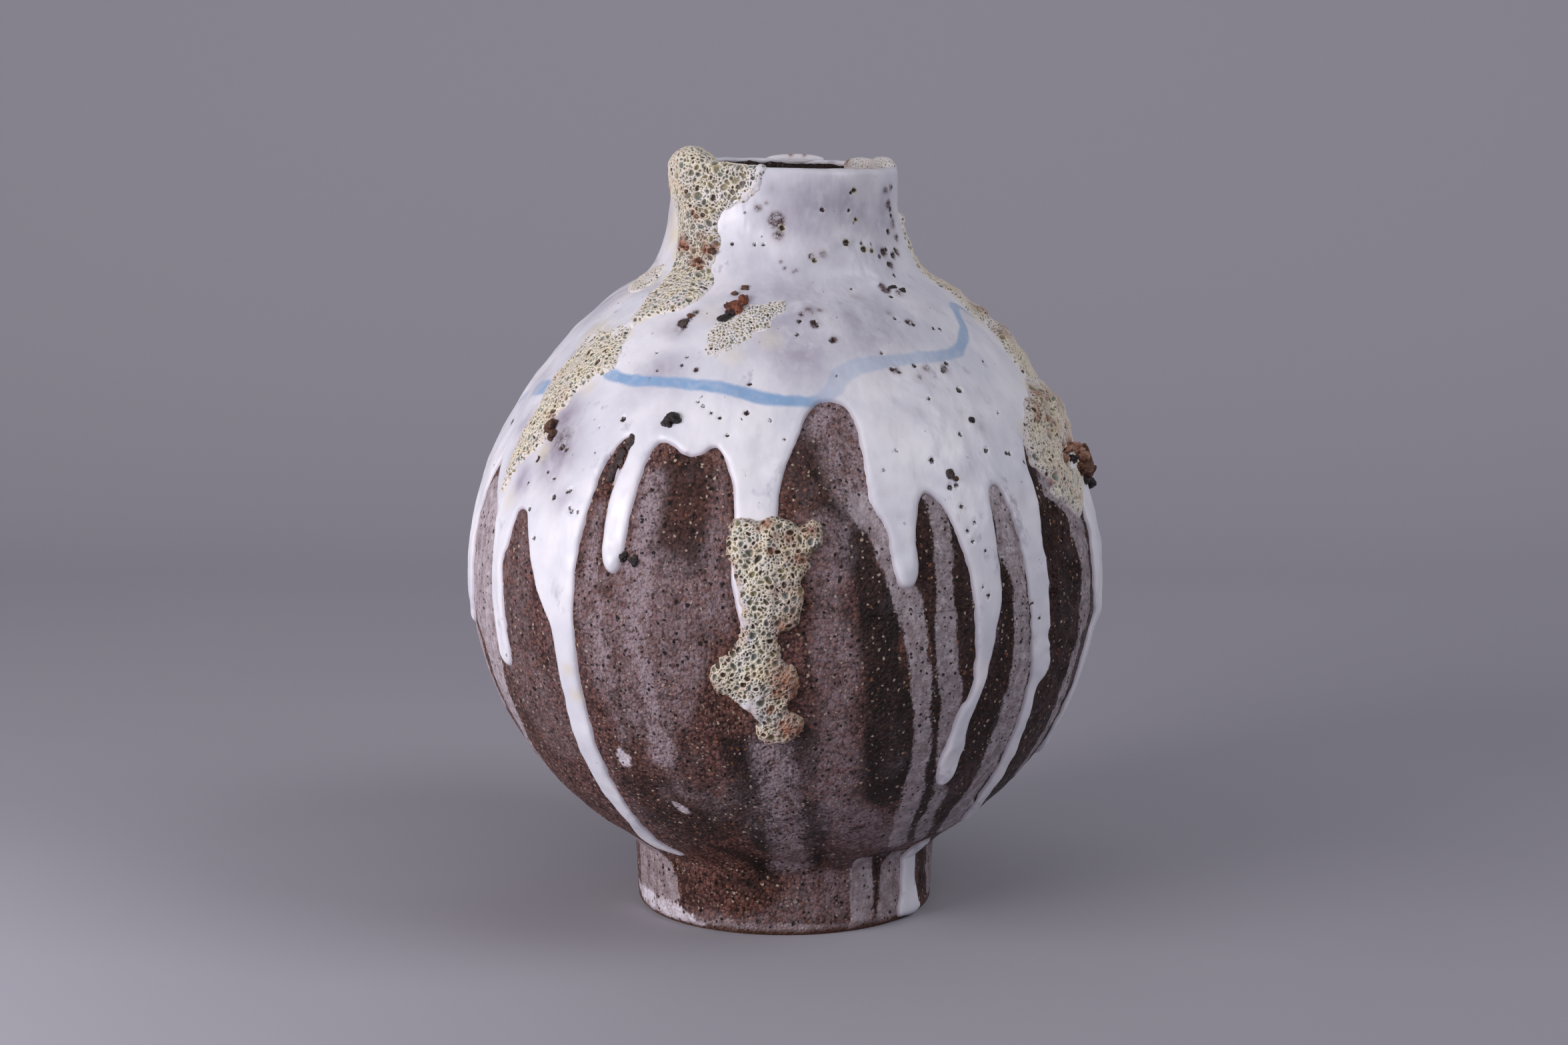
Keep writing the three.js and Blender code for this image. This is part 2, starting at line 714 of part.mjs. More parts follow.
Object.entries(clayStones).forEach(([name, shape]) => {
  jar.add(toMesh(name, wrappedLump(shape, 0).subtract(clayTop), stone));
});

export default jar;
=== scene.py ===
import math

import bmesh
import bpy
import numpy as np
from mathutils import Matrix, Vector


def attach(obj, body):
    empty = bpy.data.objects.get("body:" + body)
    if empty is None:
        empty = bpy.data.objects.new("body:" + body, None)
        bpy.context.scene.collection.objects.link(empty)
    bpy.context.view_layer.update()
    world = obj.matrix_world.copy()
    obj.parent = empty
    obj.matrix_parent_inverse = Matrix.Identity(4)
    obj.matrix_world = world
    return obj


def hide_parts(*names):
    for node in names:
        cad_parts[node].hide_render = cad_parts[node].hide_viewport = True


# Lengths in the tables are millimetres and angles are degrees. MM turns millimetres into Blender's metres.
# Azimuth 0 faces -Y and grows towards +X. A place on the jar is (azimuth, height), and heights above the
# rim count on over the lip and down inside the neck.
MM = 0.001

# Wall
FOOT_HEIGHT = 29
FOOT_RADIUS = 64
FOOT_TOP_RADIUS = 65
FOOT_WALL = 9
FOOT_CHAMFER = 1.5
BELLY_RADIUS = 136
BELLY_HEIGHT = 150
BODY_WALL = 6
FLOOR_THICKNESS = 9
CREASE_RISE = 5
SHOULDER_HEIGHT = 271
SHOULDER_RADIUS = 59.5
SHOULDER_RISE = 58
SHOULDER_RUN = 17.5
SHOULDER_DROP = 3
NECK_HEIGHT = 49
NECK_WAIST = 47.2
NECK_WAIST_DROP = 16
NECK_ROOT_RISE = 1.5
NECK_CURVE_RISE = 18
NECK_BASE_WALL = 7.5
LIP_RADIUS = 47.5
LIP_THICKNESS = 4
RIM_DIP = 1.5
RIM_HEIGHT = SHOULDER_HEIGHT + NECK_HEIGHT
THROAT_DEPTH = 14
THROAT_HEIGHT = RIM_HEIGHT - THROAT_DEPTH
THROAT_RADIUS = LIP_RADIUS - LIP_THICKNESS
INNER_RADIUS = BELLY_RADIUS - BODY_WALL
NECK_BASE_RADIUS = SHOULDER_RADIUS - NECK_BASE_WALL
FLOOR_HEIGHT = FOOT_HEIGHT + FLOOR_THICKNESS
NEAR_AXIS = 0.5
# No ring of the wall is narrower than this
NARROWEST_RING = 40

# How the outline's corners are softened
CORNER_BLUR = np.array([1, 4, 6, 4, 1]) / 16
SEAM_BLUR = 5
SEAM_REACH = 1.6 * SEAM_BLUR

# Grids: steps and margins. RUN_COLUMN and RUN_SIDE are degrees, and MOUND_REACH counts a mound's radii.
PATH_STEP = 0.4
CLAY_COLUMNS = 640
CLAY_ROW = 1.35
COAT_COLUMNS = 860
COAT_ROW = 1.1
NECK_ROW = 0.7
CRUST_CELL = 0.27
CRUST_MARGIN = 3
RUN_COLUMN = 0.4
RUN_ROW = 0.9
RUN_SIDE = 3
RUN_MARGIN = 4
RUN_LOWEST = 0.2
MOUND_REACH = 2.5
TINY = 1e-9

# The clay pieces and the CAD nodes they stand for, from the foot up
CLAY_NODES = {
    "clay_foot": "foot_ring",
    "clay_lower": "lower_bowl",
    "clay_upper": "upper_bowl",
    "clay_neck": "neck_collar",
}

# Bubbles in the crusts: from the largest to the smallest, how much of the crust each size may fill
SMALLEST_BUBBLE = 0.3
BUBBLE_SHARES = [0.1, 0.16, 0.24, 0.34, 0.44, 0.54, 0.66, 0.85]
BUBBLE_DEPTH = 0.95
BUBBLE_WARP = 0.65
BUBBLE_PACKING = 0.92
BOWL_POWER = 0.7
DEEPEST_BUBBLE = 0.8
CRUST_RAGGED = [(3.2, 0.9), (1.3, 0.5)]
CRUST_SWELL = [(6, 0.3), (2.2, 0.16)]

# Stones
STONE_ROUGH = 0.5
STONE_SUNK = 0.35
FIRST_STONE_SEED = 200
STONE_SEED_STEP = 7

# Glaze coat
COAT_THICKNESS = 1.05
COAT_WAVES = [(20, 0.4), (8, 0.36, 2.2), (3, 0.06)]
COAT_ROLL = 3.0
ROLL_POWER = 0.75
EDGE_SWELL = 0.1
EDGE_SWELL_DEPTH = 3.2
LIP_THINNING = 0.5
LIP_BLUR = 5
COAT_INSIDE = 2.7
COAT_SEAM = 262
COAT_LOWEST = 31
UNDER_GLAZE = 0.8
TUCK = 1.4
TUCK_SLOPE = 0.9
HOLE_DEPTH = 0.8
HOLE_REACH = 3
# How far from a line its distance is worked out
REACH = 12

# The coat's edge from the left round the front to the right: azimuth, height
WHITE_EDGE = [
    (-80.5, 180), (-79.5, 165), (-79, 140), (-78.3, 131), (-76.8, 127), (-75.3, 130), (-74.6, 138),
    (-74.6, 165), (-74.2, 185), (-72.8, 196), (-71.5, 200), (-70, 191), (-68, 188), (-65, 182),
    (-63.3, 177), (-62.6, 150), (-61.8, 130), (-61.5, 120.5), (-60.2, 117), (-58.4, 117), (-57.1, 120.5),
    (-57.2, 130), (-57.5, 150), (-58.5, 162), (-57.2, 170), (-56.8, 180), (-55.5, 184), (-53.2, 183),
    (-52.5, 180), (-51, 172), (-49, 162), (-47, 152), (-45, 144), (-43.7, 139), (-43.3, 130), (-43.3, 110),
    (-44, 100), (-44.8, 75), (-45, 52), (-46, 48), (-50, 40), (-49, 36.5), (-46, 34), (-40, 31.5),
    (-36, 33), (-41, 39), (-40, 48), (-39, 75), (-38.5, 100), (-38.2, 150), (-37.7, 180), (-36.5, 205),
    (-35, 210), (-34, 214), (-32.3, 217), (-31.6, 209), (-33.3, 197), (-33, 180), (-32.8, 169.5),
    (-31.4, 164.5), (-29.6, 164.5), (-28.4, 169), (-28.4, 182), (-27.8, 197), (-27, 208), (-26, 214),
    (-25, 215.3), (-22.5, 214.5), (-20, 211), (-18, 210), (-16, 211), (-14.5, 214), (-13, 214.3),
    (-11, 208), (-9.6, 202), (-8.7, 190), (-8.8, 176), (-8.9, 164), (-8.2, 155), (-7.2, 147), (-7.2, 137),
    (-7.5, 124), (-7.3, 116), (-5.6, 110), (-4.5, 107), (-3.6, 110), (-3.5, 120), (-2.5, 135), (-1.3, 160),
    (-1.3, 192), (-0.5, 203), (0.8, 210), (2.5, 218), (5.5, 229), (7.5, 231), (12, 231), (14.8, 225),
    (15, 205), (15.5, 191), (17.8, 184.5), (18.4, 168), (19.2, 161.5), (20.6, 160), (21.9, 160.4),
    (23, 165), (23.1, 173), (22.9, 180), (24.2, 190), (24.9, 194), (26.5, 197), (29.5, 190), (31, 180),
    (32.8, 165), (33.8, 145), (34.8, 120), (34.2, 112), (32.5, 108), (31.7, 93), (31.2, 88), (31.6, 80),
    (33, 74), (34.8, 72), (36.4, 74), (37, 80), (36.2, 85), (36.6, 90), (35.6, 100), (37, 111), (38, 125),
    (38.8, 142), (40, 152), (39.4, 170), (40, 193), (41, 196.5), (43.2, 195.5), (44.6, 183), (45.6, 160),
    (47, 140), (49, 120), (49.3, 113), (49.7, 100), (50, 90), (50.8, 75), (51.7, 62), (54, 53), (58, 46),
    (61, 44), (62.5, 47.5), (58.5, 57), (57, 64), (55.5, 76), (54, 90), (52.8, 104), (52.5, 112),
    (53.7, 115), (54.7, 119), (54.3, 124), (53, 135), (52, 155), (51.5, 173), (52.3, 178), (53, 188),
    (53.5, 203), (56, 212), (60, 217), (66, 214), (70, 205), (74, 203), (79, 212), (86, 205), (92, 203),
]
# Where the edge starts and ends, on the side of its first drip
EDGE_SEAM = (-80, 172)
# Back drips: azimuth, half width, tip height
BACK_DRIPS = [
    (102, 6.5, 150), (123, 5, 96), (141.5, 7.5, 168), (161, 5, 62), (184.5, 7, 130), (203, 5, 92),
    (224, 7.5, 154), (244.2, 5.5, 52), (264, 6.5, 108),
]
BACK_SKIRT = 204
BACK_SKIRT_STEP = 6
BACK_DRIP_RADIUS = 125
DRIP_SHOULDER = 14
# Thick ends of drips: azimuth, height, radius, how much thicker
DRIP_BEADS = [
    (-76.8, 131, 4, 0.7), (-59.4, 122, 4, 0.9), (-30.3, 169, 4.5, 1.3), (20.6, 167, 5, 1.2),
    (34.4, 79, 5, 1.1), (33.8, 92, 5, 0.5), (36.5, 118, 6, 0.7), (52.6, 120, 6, 1.0), (-43.5, 36, 7, 0.5),
    (60, 47, 5, 0.5),
]
# Loose dabs of glaze: azimuth, height, half width, half height
GLAZE_DABS = [(-32.9, 201, 0.8, 4)]

# Blue line: azimuth, height, half width, strength
BLUE_LINE = [
    [(-73, 227, 3.2, 0.5), (-69, 228.5, 3.6, 0.9), (-66, 229, 3, 0.5)],
    [(-81, 221, 2, 0.4), (-79, 223, 2, 0.4)],
    [(-46, 238, 2.2, 0.9), (-40, 236.5, 2.4, 1), (-33, 236.3, 2.3, 1), (-25, 236.5, 2.2, 1),
     (-15, 235.5, 2.4, 1), (-10, 234, 2.5, 1), (-5, 232, 2.5, 1), (0, 231, 2.4, 1), (5, 230.6, 2.3, 0.9),
     (8, 231.5, 2.8, 0.45), (11, 235, 3.4, 0.35), (13, 240, 3.8, 0.35), (17, 243, 3.8, 0.4),
     (22, 244, 3.2, 0.42), (28, 245, 2.8, 0.45), (36, 245, 2.6, 0.5), (44, 245, 2.5, 0.6),
     (50, 246, 2.5, 0.7), (55, 249.5, 2.2, 0.85), (60, 253.5, 2.1, 0.8), (63, 258, 1.9, 0.8),
     (65, 260.5, 1.9, 0.75), (68, 261.5, 1.9, 0.75), (71, 261, 1.8, 0.7), (73, 259, 1.6, 0.6),
     (75, 257, 1.4, 0.4)],
]

# Cream stains round the crusts, and dark smudges in the coat: azimuth, height, radius, strength
CREAM_STAINS = [
    (-64, 250, 7, 0.8), (-59, 249, 7, 0.7), (-66, 291, 6, 0.7), (-60, 299, 7, 0.6), (-57, 284, 4, 0.8),
    (-52, 251, 4, 1.0), (-49, 252, 3.5, 1.0), (-56, 246, 4, 0.9), (-48, 259, 4, 0.7), (-74, 296, 6, 0.5),
    (-50, 232, 4, 0.4), (-54, 206, 4, 0.6), (-63, 205, 6, 0.35), (-4, 253, 5, 0.35), (-13, 247, 5, 0.3),
    (-60, 186, 5, 0.3), (-82, 312, 8, 0.8), (-70, 312, 9, 0.8), (-33, 312, 6, 0.5), (77, 257, 6, 0.7),
    (72, 228, 5, 0.5), (57, 214, 4, 0.5), (66, 178, 4, 0.5), (120, 312, 9, 0.7), (136, 312, 9, 0.6),
    (85, 262, 6, 0.6), (-39.6, 112, 3.4, 0.5), (-40.4, 123, 3, 0.5), (-24, 262, 6, 0.25),
    (-68, 272, 8, 0.6), (-78, 272, 7, 0.5),
]
SMUDGES = [
    (-52, 219, 8, 0.34), (-48, 208, 8, 0.38), (-53, 203, 6, 0.36), (-49, 196, 7, 0.3), (-46, 216, 5, 0.3),
    (-50, 212, 9, 0.5), (-54, 226, 6, 0.35), (50.5, 284.6, 2.6, 0.8), (7.4, 263.2, 2.4, 0.6),
    (-31.4, 258.6, 2.6, 0.9), (-30, 257.2, 2, 0.8), (-28.8, 262.4, 2, 0.8), (40.5, 269.6, 3, 0.8),
    (39, 258, 2.2, 0.8), (-31, 256, 6, 0.4), (-36, 255, 5, 0.25), (-4, 299, 4.2, 0.85), (-3, 293, 3.5, 0.6),
    (-13, 304, 2.6, 0.6), (-9, 306, 1.6, 0.5), (-6, 312, 3, 0.3), (3, 312, 3, 0.3), (24, 306, 4, 0.25),
    (30, 300, 5, 0.2), (40, 296, 5, 0.22), (14, 284, 5, 0.3), (17, 285, 3, 0.5), (11.8, 284, 1.7, 0.9),
    (25, 281, 4, 0.3), (63, 305, 3, 0.7), (66, 296, 3, 0.7), (66, 290, 2.6, 0.6), (60, 311, 2.4, 0.6),
    (66, 312, 2.4, 0.6), (8, 262.6, 3, 0.45), (5, 262, 1.6, 0.8), (11, 263.4, 2, 0.5), (8.4, 258, 1.8, 1.0),
    (13, 252.5, 2, 0.8), (27, 241, 2.4, 0.7), (33, 238, 2.4, 0.5), (36, 241, 2.6, 0.6), (41, 240, 2.6, 0.7),
    (40, 271, 2.4, 0.8), (44, 268, 3, 0.6), (52, 279, 2.2, 0.7), (57, 283, 2.4, 0.7), (62, 284, 2.2, 0.8),
    (34, 262, 3, 0.4), (25, 268, 3, 0.4), (20, 262, 3, 0.3), (-29.5, 260, 1.8, 0.9), (-18, 269, 1.3, 0.9),
    (5, 278.6, 1.5, 0.5), (3.6, 278, 1.3, 0.5), (-0.2, 279.5, 1.2, 0.7), (-1.7, 282, 1.2, 0.6),
    (-21.4, 241.4, 1.3, 1.0), (-77, 212.5, 1.6, 0.9), (-24, 208, 2.4, 0.3), (44, 218, 5, 0.35),
    (40, 224, 4, 0.3), (48, 230, 4, 0.25), (58, 195, 3.4, 0.5), (56, 200, 3, 0.4), (30, 226, 4, 0.25),
    (-14.5, 213, 2, 0.4), (-19, 211, 2, 0.4),
]
# Broad places where the coat is thin and lets the clay's lilac grey through, and painted shade on the right
# of the neck and the middle of the shoulder
THIN_AND_SHADED_PLACES = [
    (0, 264, 30, 0.75), (24, 256, 24, 0.65), (-16, 282, 16, 0.4), (-38, 276, 13, 0.45), (-77, 262, 13, 0.5),
    (-62, 205, 10, 0.9), (-67, 214, 8, 0.7), (-58, 194, 8, 0.9), (-44, 190, 7, 0.6), (48, 262, 16, 0.3),
    (12, 303, 18, 0.75), (35, 304, 16, 0.8), (55, 300, 14, 0.8), (24, 290, 14, 0.6), (-4, 310, 9, 0.5),
    (44, 284, 12, 0.55), (-12, 300, 9, 0.4), (66, 300, 8, 0.7), (-49, 206, 13, 1.0), (-52, 220, 10, 0.9),
    (-46, 193, 8, 0.4), (-33, 256, 8, 0.45), (-36, 246, 7, 0.3), (-8, 276, 12, 0.3), (16, 272, 14, 0.35),
    (4, 249, 18, 0.85), (-30, 240, 12, 0.75), (2, 296, 14, 0.4), (36, 262, 14, 0.35), (24, 226, 10, 0.25),
    (33, 240, 9, 0.4), (-80, 300, 10, 0.5), (-74, 230, 12, 0.35), (-36, 228, 8, 0.3), (-26, 226, 9, 0.2),
    (48, 190, 6, 0.3), (36, 205, 6, 0.35), (110, 290, 22, 0.6), (150, 296, 20, 0.5), (-120, 286, 22, 0.6),
    (-160, 300, 20, 0.5), (130, 236, 20, 0.4), (-140, 230, 22, 0.4), (170, 250, 20, 0.35),
]
# Open holes in the coat: azimuth, height, radius; those in the second list have a green and yellow halo
HOLES = [
    (-25, 289, 0.8), (-14, 289, 0.7), (-9.8, 289, 0.7), (-1.5, 299, 0.6), (18.5, 303.5, 1.0),
    (4.3, 259.7, 1.0), (-8.7, 265, 0.7), (-17.2, 246.7, 0.7), (-25, 246, 0.7), (-35.5, 222, 1.3),
    (-49, 209, 1.5), (-47.5, 208.4, 1.0), (-55.2, 203, 1.5), (-46.2, 190.5, 1.0), (-50, 199, 0.8),
    (-47.6, 197, 0.8), (-41, 218, 0.6), (-34.2, 246.8, 0.6), (42.5, 232, 1.4), (29, 207.5, 1.2),
    (-25.5, 243, 0.8), (34, 310.5, 0.7), (33.4, 303, 0.7), (47, 283, 0.9), (38, 289, 0.7), (3.4, 255, 0.8),
    (57, 241, 0.6), (26, 271, 0.7), (12, 240, 0.7), (-3, 224, 0.7), (0, 217, 0.6), (-43, 193, 0.9),
    (-41.5, 187, 0.8), (-55.5, 193.5, 0.8), (-39.5, 209, 0.6), (-8, 237, 0.9), (-32.6, 237.3, 0.6),
    (35, 183, 0.9), (48, 207, 0.9), (37.5, 216, 1.0), (51, 222, 0.7), (46.5, 255, 0.8), (-60, 214, 0.6),
    (-75, 195, 0.8), (36.5, 172, 0.7), (35.2, 158, 0.7), (18.6, 205, 0.7), (22, 212, 0.7), (33, 230, 0.8),
    (-31.6, 240.5, 0.6), (-8, 226.5, 1.2), (-13.5, 224.5, 0.9), (-15.5, 226, 0.8), (-17.5, 228.5, 0.8),
    (-19, 230, 0.7), (-18.5, 232, 0.6), (-11.5, 218.3, 0.8), (51, 279.5, 1.2), (52, 275, 1.0),
    (50.5, 285, 1.3), (53, 285.6, 0.9), (56.5, 283, 1.3), (61, 285, 1.2), (40, 267.5, 0.9),
    (38.5, 258.3, 1.1), (40, 257, 0.9), (35, 260, 0.8), (49, 254.5, 0.9), (25.5, 248, 0.8),
    (33, 242.5, 1.0), (40.5, 239.5, 1.2), (42.7, 242, 1.1), (31.5, 197, 1.3), (33, 197.5, 1.0),
    (42.6, 209, 1.1), (48.9, 206.5, 1.0), (52.5, 202.5, 1.0), (33, 189.5, 1.0), (33.3, 180, 0.9),
    (34, 176, 0.9), (36.3, 154, 1.0), (47, 148, 0.9), (49.3, 141, 0.9), (69, 312, 1.1), (66, 302.5, 1.4),
    (66, 299.5, 1.2), (60, 293, 1.3), (-46, 190, 1.1), (-42.5, 193.5, 0.9), (-40.8, 186, 0.9),
    (-39.3, 186, 0.8), (-52, 184, 1.0), (-49, 173.5, 1.0), (8.2, 259, 1.3), (9.2, 257.6, 0.9),
    (12.6, 252.4, 1.2), (26.4, 241.6, 1.1), (28, 240.4, 0.8),
]
HALO_HOLES = [(-1.3, 295.8, 1.1), (13, 282.5, 0.8), (29.5, 289.5, 1.3), (38.5, 286.5, 1.3), (43, 285.6, 0.9),
              (35.8, 311.5, 1.0), (37, 299, 0.7)]
# Bare clay ridges that show through the coat on the right of the neck: azimuth, height, radius, how proud
CREASES = [
    (63, 305, 2.5, 0.7), (65, 297, 2.5, 0.8), (67, 291, 2.2, 0.6), (62, 311, 2, 0.6), (52, 280, 2.4, 0.6),
    (57, 284, 2.6, 0.6), (40, 272, 2.4, 0.7), (44, 269, 2.8, 0.6), (13, 252.5, 2, 0.7), (27, 241, 2.2, 0.6),
    (41, 240.4, 2.4, 0.6), (8.4, 258.6, 2, 0.7), (17, 286, 4, 0.5), (7, 264, 4, 0.6),
    (-29.5, 261, 2.4, 0.7),
]

# Bands on the bare clay as (height, left, right) down the jar, each with its strength. A wash has a
# clear edge.
WASH_BANDS = [
    (0.95, [(198, 11, 15.7), (190, 11.4, 16), (184, 13.6, 18),
            (177, 15, 18.6), (165, 17, 19.5), (160, 17.6, 22.3), (150, 19.2, 23.8), (135, 21, 25),
            (120, 22, 26), (105, 23.4, 26.9), (90, 24.6, 28.3), (75, 25.4, 30), (62, 26.2, 31.6),
            (52, 27.8, 33.5),
            (44, 30.5, 36.5), (38, 33, 41)]),
    (0.9, [(196, 25.8, 29), (190, 26, 30.2), (178, 26.3, 29.7), (160, 26.4, 29.8), (150, 26.3, 29.9),
           (143, 25.6, 30.2), (130, 26.4, 30.8), (120, 27.2, 32), (110, 28.7, 33), (100, 29.3, 32.5),
           (90, 30.4, 33), (80, 31.5, 34), (70, 33.8, 36.9), (60, 34.4, 39), (50, 36.5, 41.5),
           (44, 39.2, 45),
           (38, 43, 50)]),
    (1.0, [(197, 40.2, 44), (180, 39.8, 44.6), (170, 39.6, 45.2), (164, 40.6, 45.7), (159, 42.1, 46),
           (140, 42.7, 46.6), (125, 43.2, 48.2), (100, 43.5, 49.8), (80, 44, 50), (62, 44.8, 50.5),
           (52, 45.6, 53), (46, 48, 58), (40, 53, 64)]),
    (0.9, [(197, 55.4, 58.8), (189, 55.6, 66), (183, 60.8, 68.8), (178, 62, 69), (165, 63.5, 69.4),
           (150, 64.2, 69.8), (140, 64.6, 70.8), (131, 65, 71.2), (127, 65.2, 67.9), (115, 64, 68.2),
           (100, 65, 69.8), (80, 65.6, 71), (62, 68, 74)]),
    (1.15, [(192, -72, -69), (186, -74.5, -66), (178, -75, -63.2), (160, -75, -62.7), (140, -75, -62),
            (124, -71.6, -61.6), (118, -71.4, -62.6), (100, -71.3, -64), (88, -71.4, -65.6), (76, -73, -68),
            (60, -75, -71)]),
    (1.2, [(128, -82, -74), (110, -82, -74), (90, -80, -74.5)]),
    (0.8, [(33, -78, -58), (28, -76, -50.4), (20, -75.5, -45), (14, -76, -43.5), (9, -78, -43)]),
    (0.55, [(5.4, -46, 40), (3.4, -42, 42), (1.4, -36, 44)]),
    (1.6, [(9.5, -84, -43.5), (6.5, -80, -41), (3, -72, -28), (1.4, -68, -30)]),
    (0.95, [(33, 25.4, 35), (14, 25.2, 34.4), (7, 25.5, 36), (2, 26, 36)]),
    (0.9, [(33, 40, 50), (14, 38.6, 50), (6, 37, 50), (2, 36, 50)]),
    (0.8, [(31, 70, 96), (14, 71, 94), (4, 74, 90)]),
    (1.5, [(91, -33.2, -32.4), (88, -34, -31.4), (84, -34.2, -31.2), (81, -33.4, -32)]),
    (1.4, [(67, -25, -23.2), (64, -25, -22), (61, -23.6, -21.8)]),
]
# A film fades out at its sides, and so does the darker clay between the films
FILM_BANDS = [
    (0.85, [(236, 6, 19), (222, 6.5, 18), (205, 8.5, 17), (196, 10, 17), (186, 13, 18)]),
    (1.5, [(204, -27, -23), (170, -27.4, -23.5), (140, -27, -23), (110, -26.5, -22.5), (88, -25.5, -22)]),
    (0.4, [(196, -29, -25), (170, -29, -25)]),
    (1.1, [(190, -36.4, -33.6), (150, -35.5, -33), (115, -33.5, -31), (95, -33, -30)]),
    (0.45, [(212, -14, -11), (200, -14, -9.6), (176, -13.6, -9.6), (160, -12.5, -8.5), (138, -12, -8)]),
    (0.55, [(176, -28, -22), (162, -38, -12), (150, -38, -9), (120, -37, -14), (108, -34, -17),
            (96, -28, -22)]),
    (0.85, [(99, -6, 0.2), (88, -5, 0.6), (75, -3.6, 1.3), (62, -2.4, 2.3), (50, -2, 4), (38, -3, 6.5),
            (29, -6, 9)]),
    (0.6, [(190, 2, 10), (165, 4.2, 10.6), (150, 3.5, 11), (135, 4, 12), (120, 5.5, 12.6), (108, 6, 12),
           (95, 6, 13.6), (80, 5.5, 14.5), (68, 7.5, 16), (58, 9, 24), (48, 11, 29), (40, 13.5, 33)]),
    (0.4, [(28, 5, 26), (14, 0, 25), (4, -20, 25)]),
    (0.3, [(196, -63, -52), (150, -63, -50), (120, -62, -46), (80, -58, -42)]),
    (0.45, [(9, -40, 20), (3, -36, 24)]),
]
DARK_BANDS = [
    (1.0, [(194, 9, 12.6), (177, 11, 15), (165, 11, 17), (150, 11.5, 19.2), (135, 12.4, 21), (120, 13.2, 22),
           (108, 12.8, 23), (95, 14.2, 24.4), (80, 15, 25.4), (66, 18, 25.6)]),
    (1.0, [(102, -13, -6), (90, -11.5, -5.5), (80, -10.5, -4.5), (70, -9.5, -3.5), (60, -9, -2.8),
           (50, -8.5, -2.2), (42, -9, -2.5)]),
    (1.0, [(70, 4, 8.6), (60, 4.5, 10), (50, 5, 11.5), (42, 6, 13), (33, 8, 13)]),
    (0.8, [(104, 0.4, 6), (90, 0.9, 6), (78, 1.5, 5.4)]),
    (1.0, [(46, -28, -16), (38, -20, -5), (30, -14, -1), (23, -12, -3)]),
    (0.6, [(214, -22, -15), (200, -24.5, -13.5), (178, -25, -13), (164, -21, -16)]),
    (0.6, [(225, 0, 7), (200, 0, 9), (188, 4, 11)]),
    (0.6, [(78, -37, -22), (60, -36, -10), (46, -34, -10)]),
    (0.85, [(200, 22, 95), (150, 23, 95), (100, 26, 95), (60, 30, 95), (40, 38, 95)]),
    (0.9, [(34, 34.6, 40.4), (14, 34.4, 38.6), (7, 36, 38)]),
    (0.9, [(33, 60, 68), (20, 61, 70), (6, 66, 74)]),
    (0.5, [(30, -24, 0), (14, -30, -6)]),
    (0.6, [(184, -4, 3), (160, -5, 3), (140, -4, 3)]),
]
WASH_EDGE = 0.7
FILM_SOFT = 4.5
DARK_SOFT = 2.6

# The wash below each back drip as height, or None at the tip, and how far out to the left and to the right
BACK_WASH_ROWS = [(205, 1, 1), (None, 0.7, 0.9), (60, 1, 1.1), (40, 2, 2)]
BACK_WASH = 0.9
BACK_DARK = 0.8
BACK_DARK_SIDES = (0.2, 1.6)
BACK_WASH_RADIUS = 120
BARE_FOOT = 0.8

# Thin shapes that noise adds, as size, amount and a stretch where it has one
CLAY_RELIEF = [(38, 0.5), (13, 0.28), (5, 0.2)]
FINE_RELIEF = [(2.9, 0.2), (1.6, 0.12)]
BAND_WOBBLE = [(7, 1.6, 2), (22, 5)]
# Torn clay on the right of the belly: azimuth, height, half width, half height and amount
TORN_PATCH = (60, 148, 8, 55, 1.7)
TORN_SIZE = 9
TORN_STRETCH = 0.7
# Where the relief fades out: distances past the rim, and heights above the foot's edge
LIP_FADE = (2, 6)
FOOT_FADE = (0, 5)

# Camera, with its place in metres, and the sheet of paper
CAMERA_SENSOR = 36
CAMERA_LENS = 70.6
CAMERA_PLACE = (-0.0003, -1.312, 0.3788)
CAMERA_TILT = 0.1609
PAPER_SIDE = 7.0
PAPER_BACK = 1.7
PAPER_BEND = 0.9
PAPER_TOP = 3.2

# Lights: name, place and target, width and height in metres, power in watts and colour
AIM = (0, 0, 0.16)
LIGHTS = [
    ("key", (-1.6, -1.3, 0.5), AIM, (1.1, 1.3), 29, (1, 0.97, 1)),
    ("top", (0.1, 0.1, 1.9), AIM, (1.4, 1.0), 1.5, (0.98, 0.98, 1)),
    ("fill", (1.7, -0.8, 1.7), AIM, (1.2, 1.4), 19, (0.96, 0.97, 1)),
    ("pool", (-0.62, -0.3, 0.36), (-0.42, -0.12, 0), (0.2, 0.2), 1.3, (1, 0.97, 1)),
]
ROOM_STRENGTH = 0.55


def noise_at(points, size, seed, stretch=1.0):
    """Smooth noise from -1 to 1 at points in millimetres, with lumps about as large as size."""
    scaled = points / size
    scaled[..., 2] /= stretch
    cell = np.floor(scaled).astype(np.int64)
    part = scaled - cell
    part = part * part * (3 - 2 * part)
    total = np.zeros(points.shape[:-1])
    for corner in range(8):
        offset = np.array([corner & 1, corner >> 1 & 1, corner >> 2 & 1])
        key = cell + offset
        mixed = key[..., 0] * 73856093 ^ key[..., 1] * 19349663 ^ key[..., 2] * 83492791 ^ seed * 2654435761
        mixed = (mixed ^ mixed >> 13) * 1274126177 & 0xFFFFFFFF
        mixed = (mixed ^ mixed >> 16) * 2246822519 & 0xFFFFFFFF
        value = (mixed >> 8) / float(1 << 23) - 1
        weight = np.prod(np.where(offset, part, 1 - part), axis=-1)
        total += value * weight
    return total


def smooth_step(values, low, high):
    share = np.clip((values - low) / (high - low), 0, 1)
    return share * share * (3 - 2 * share)


# The wall's outline

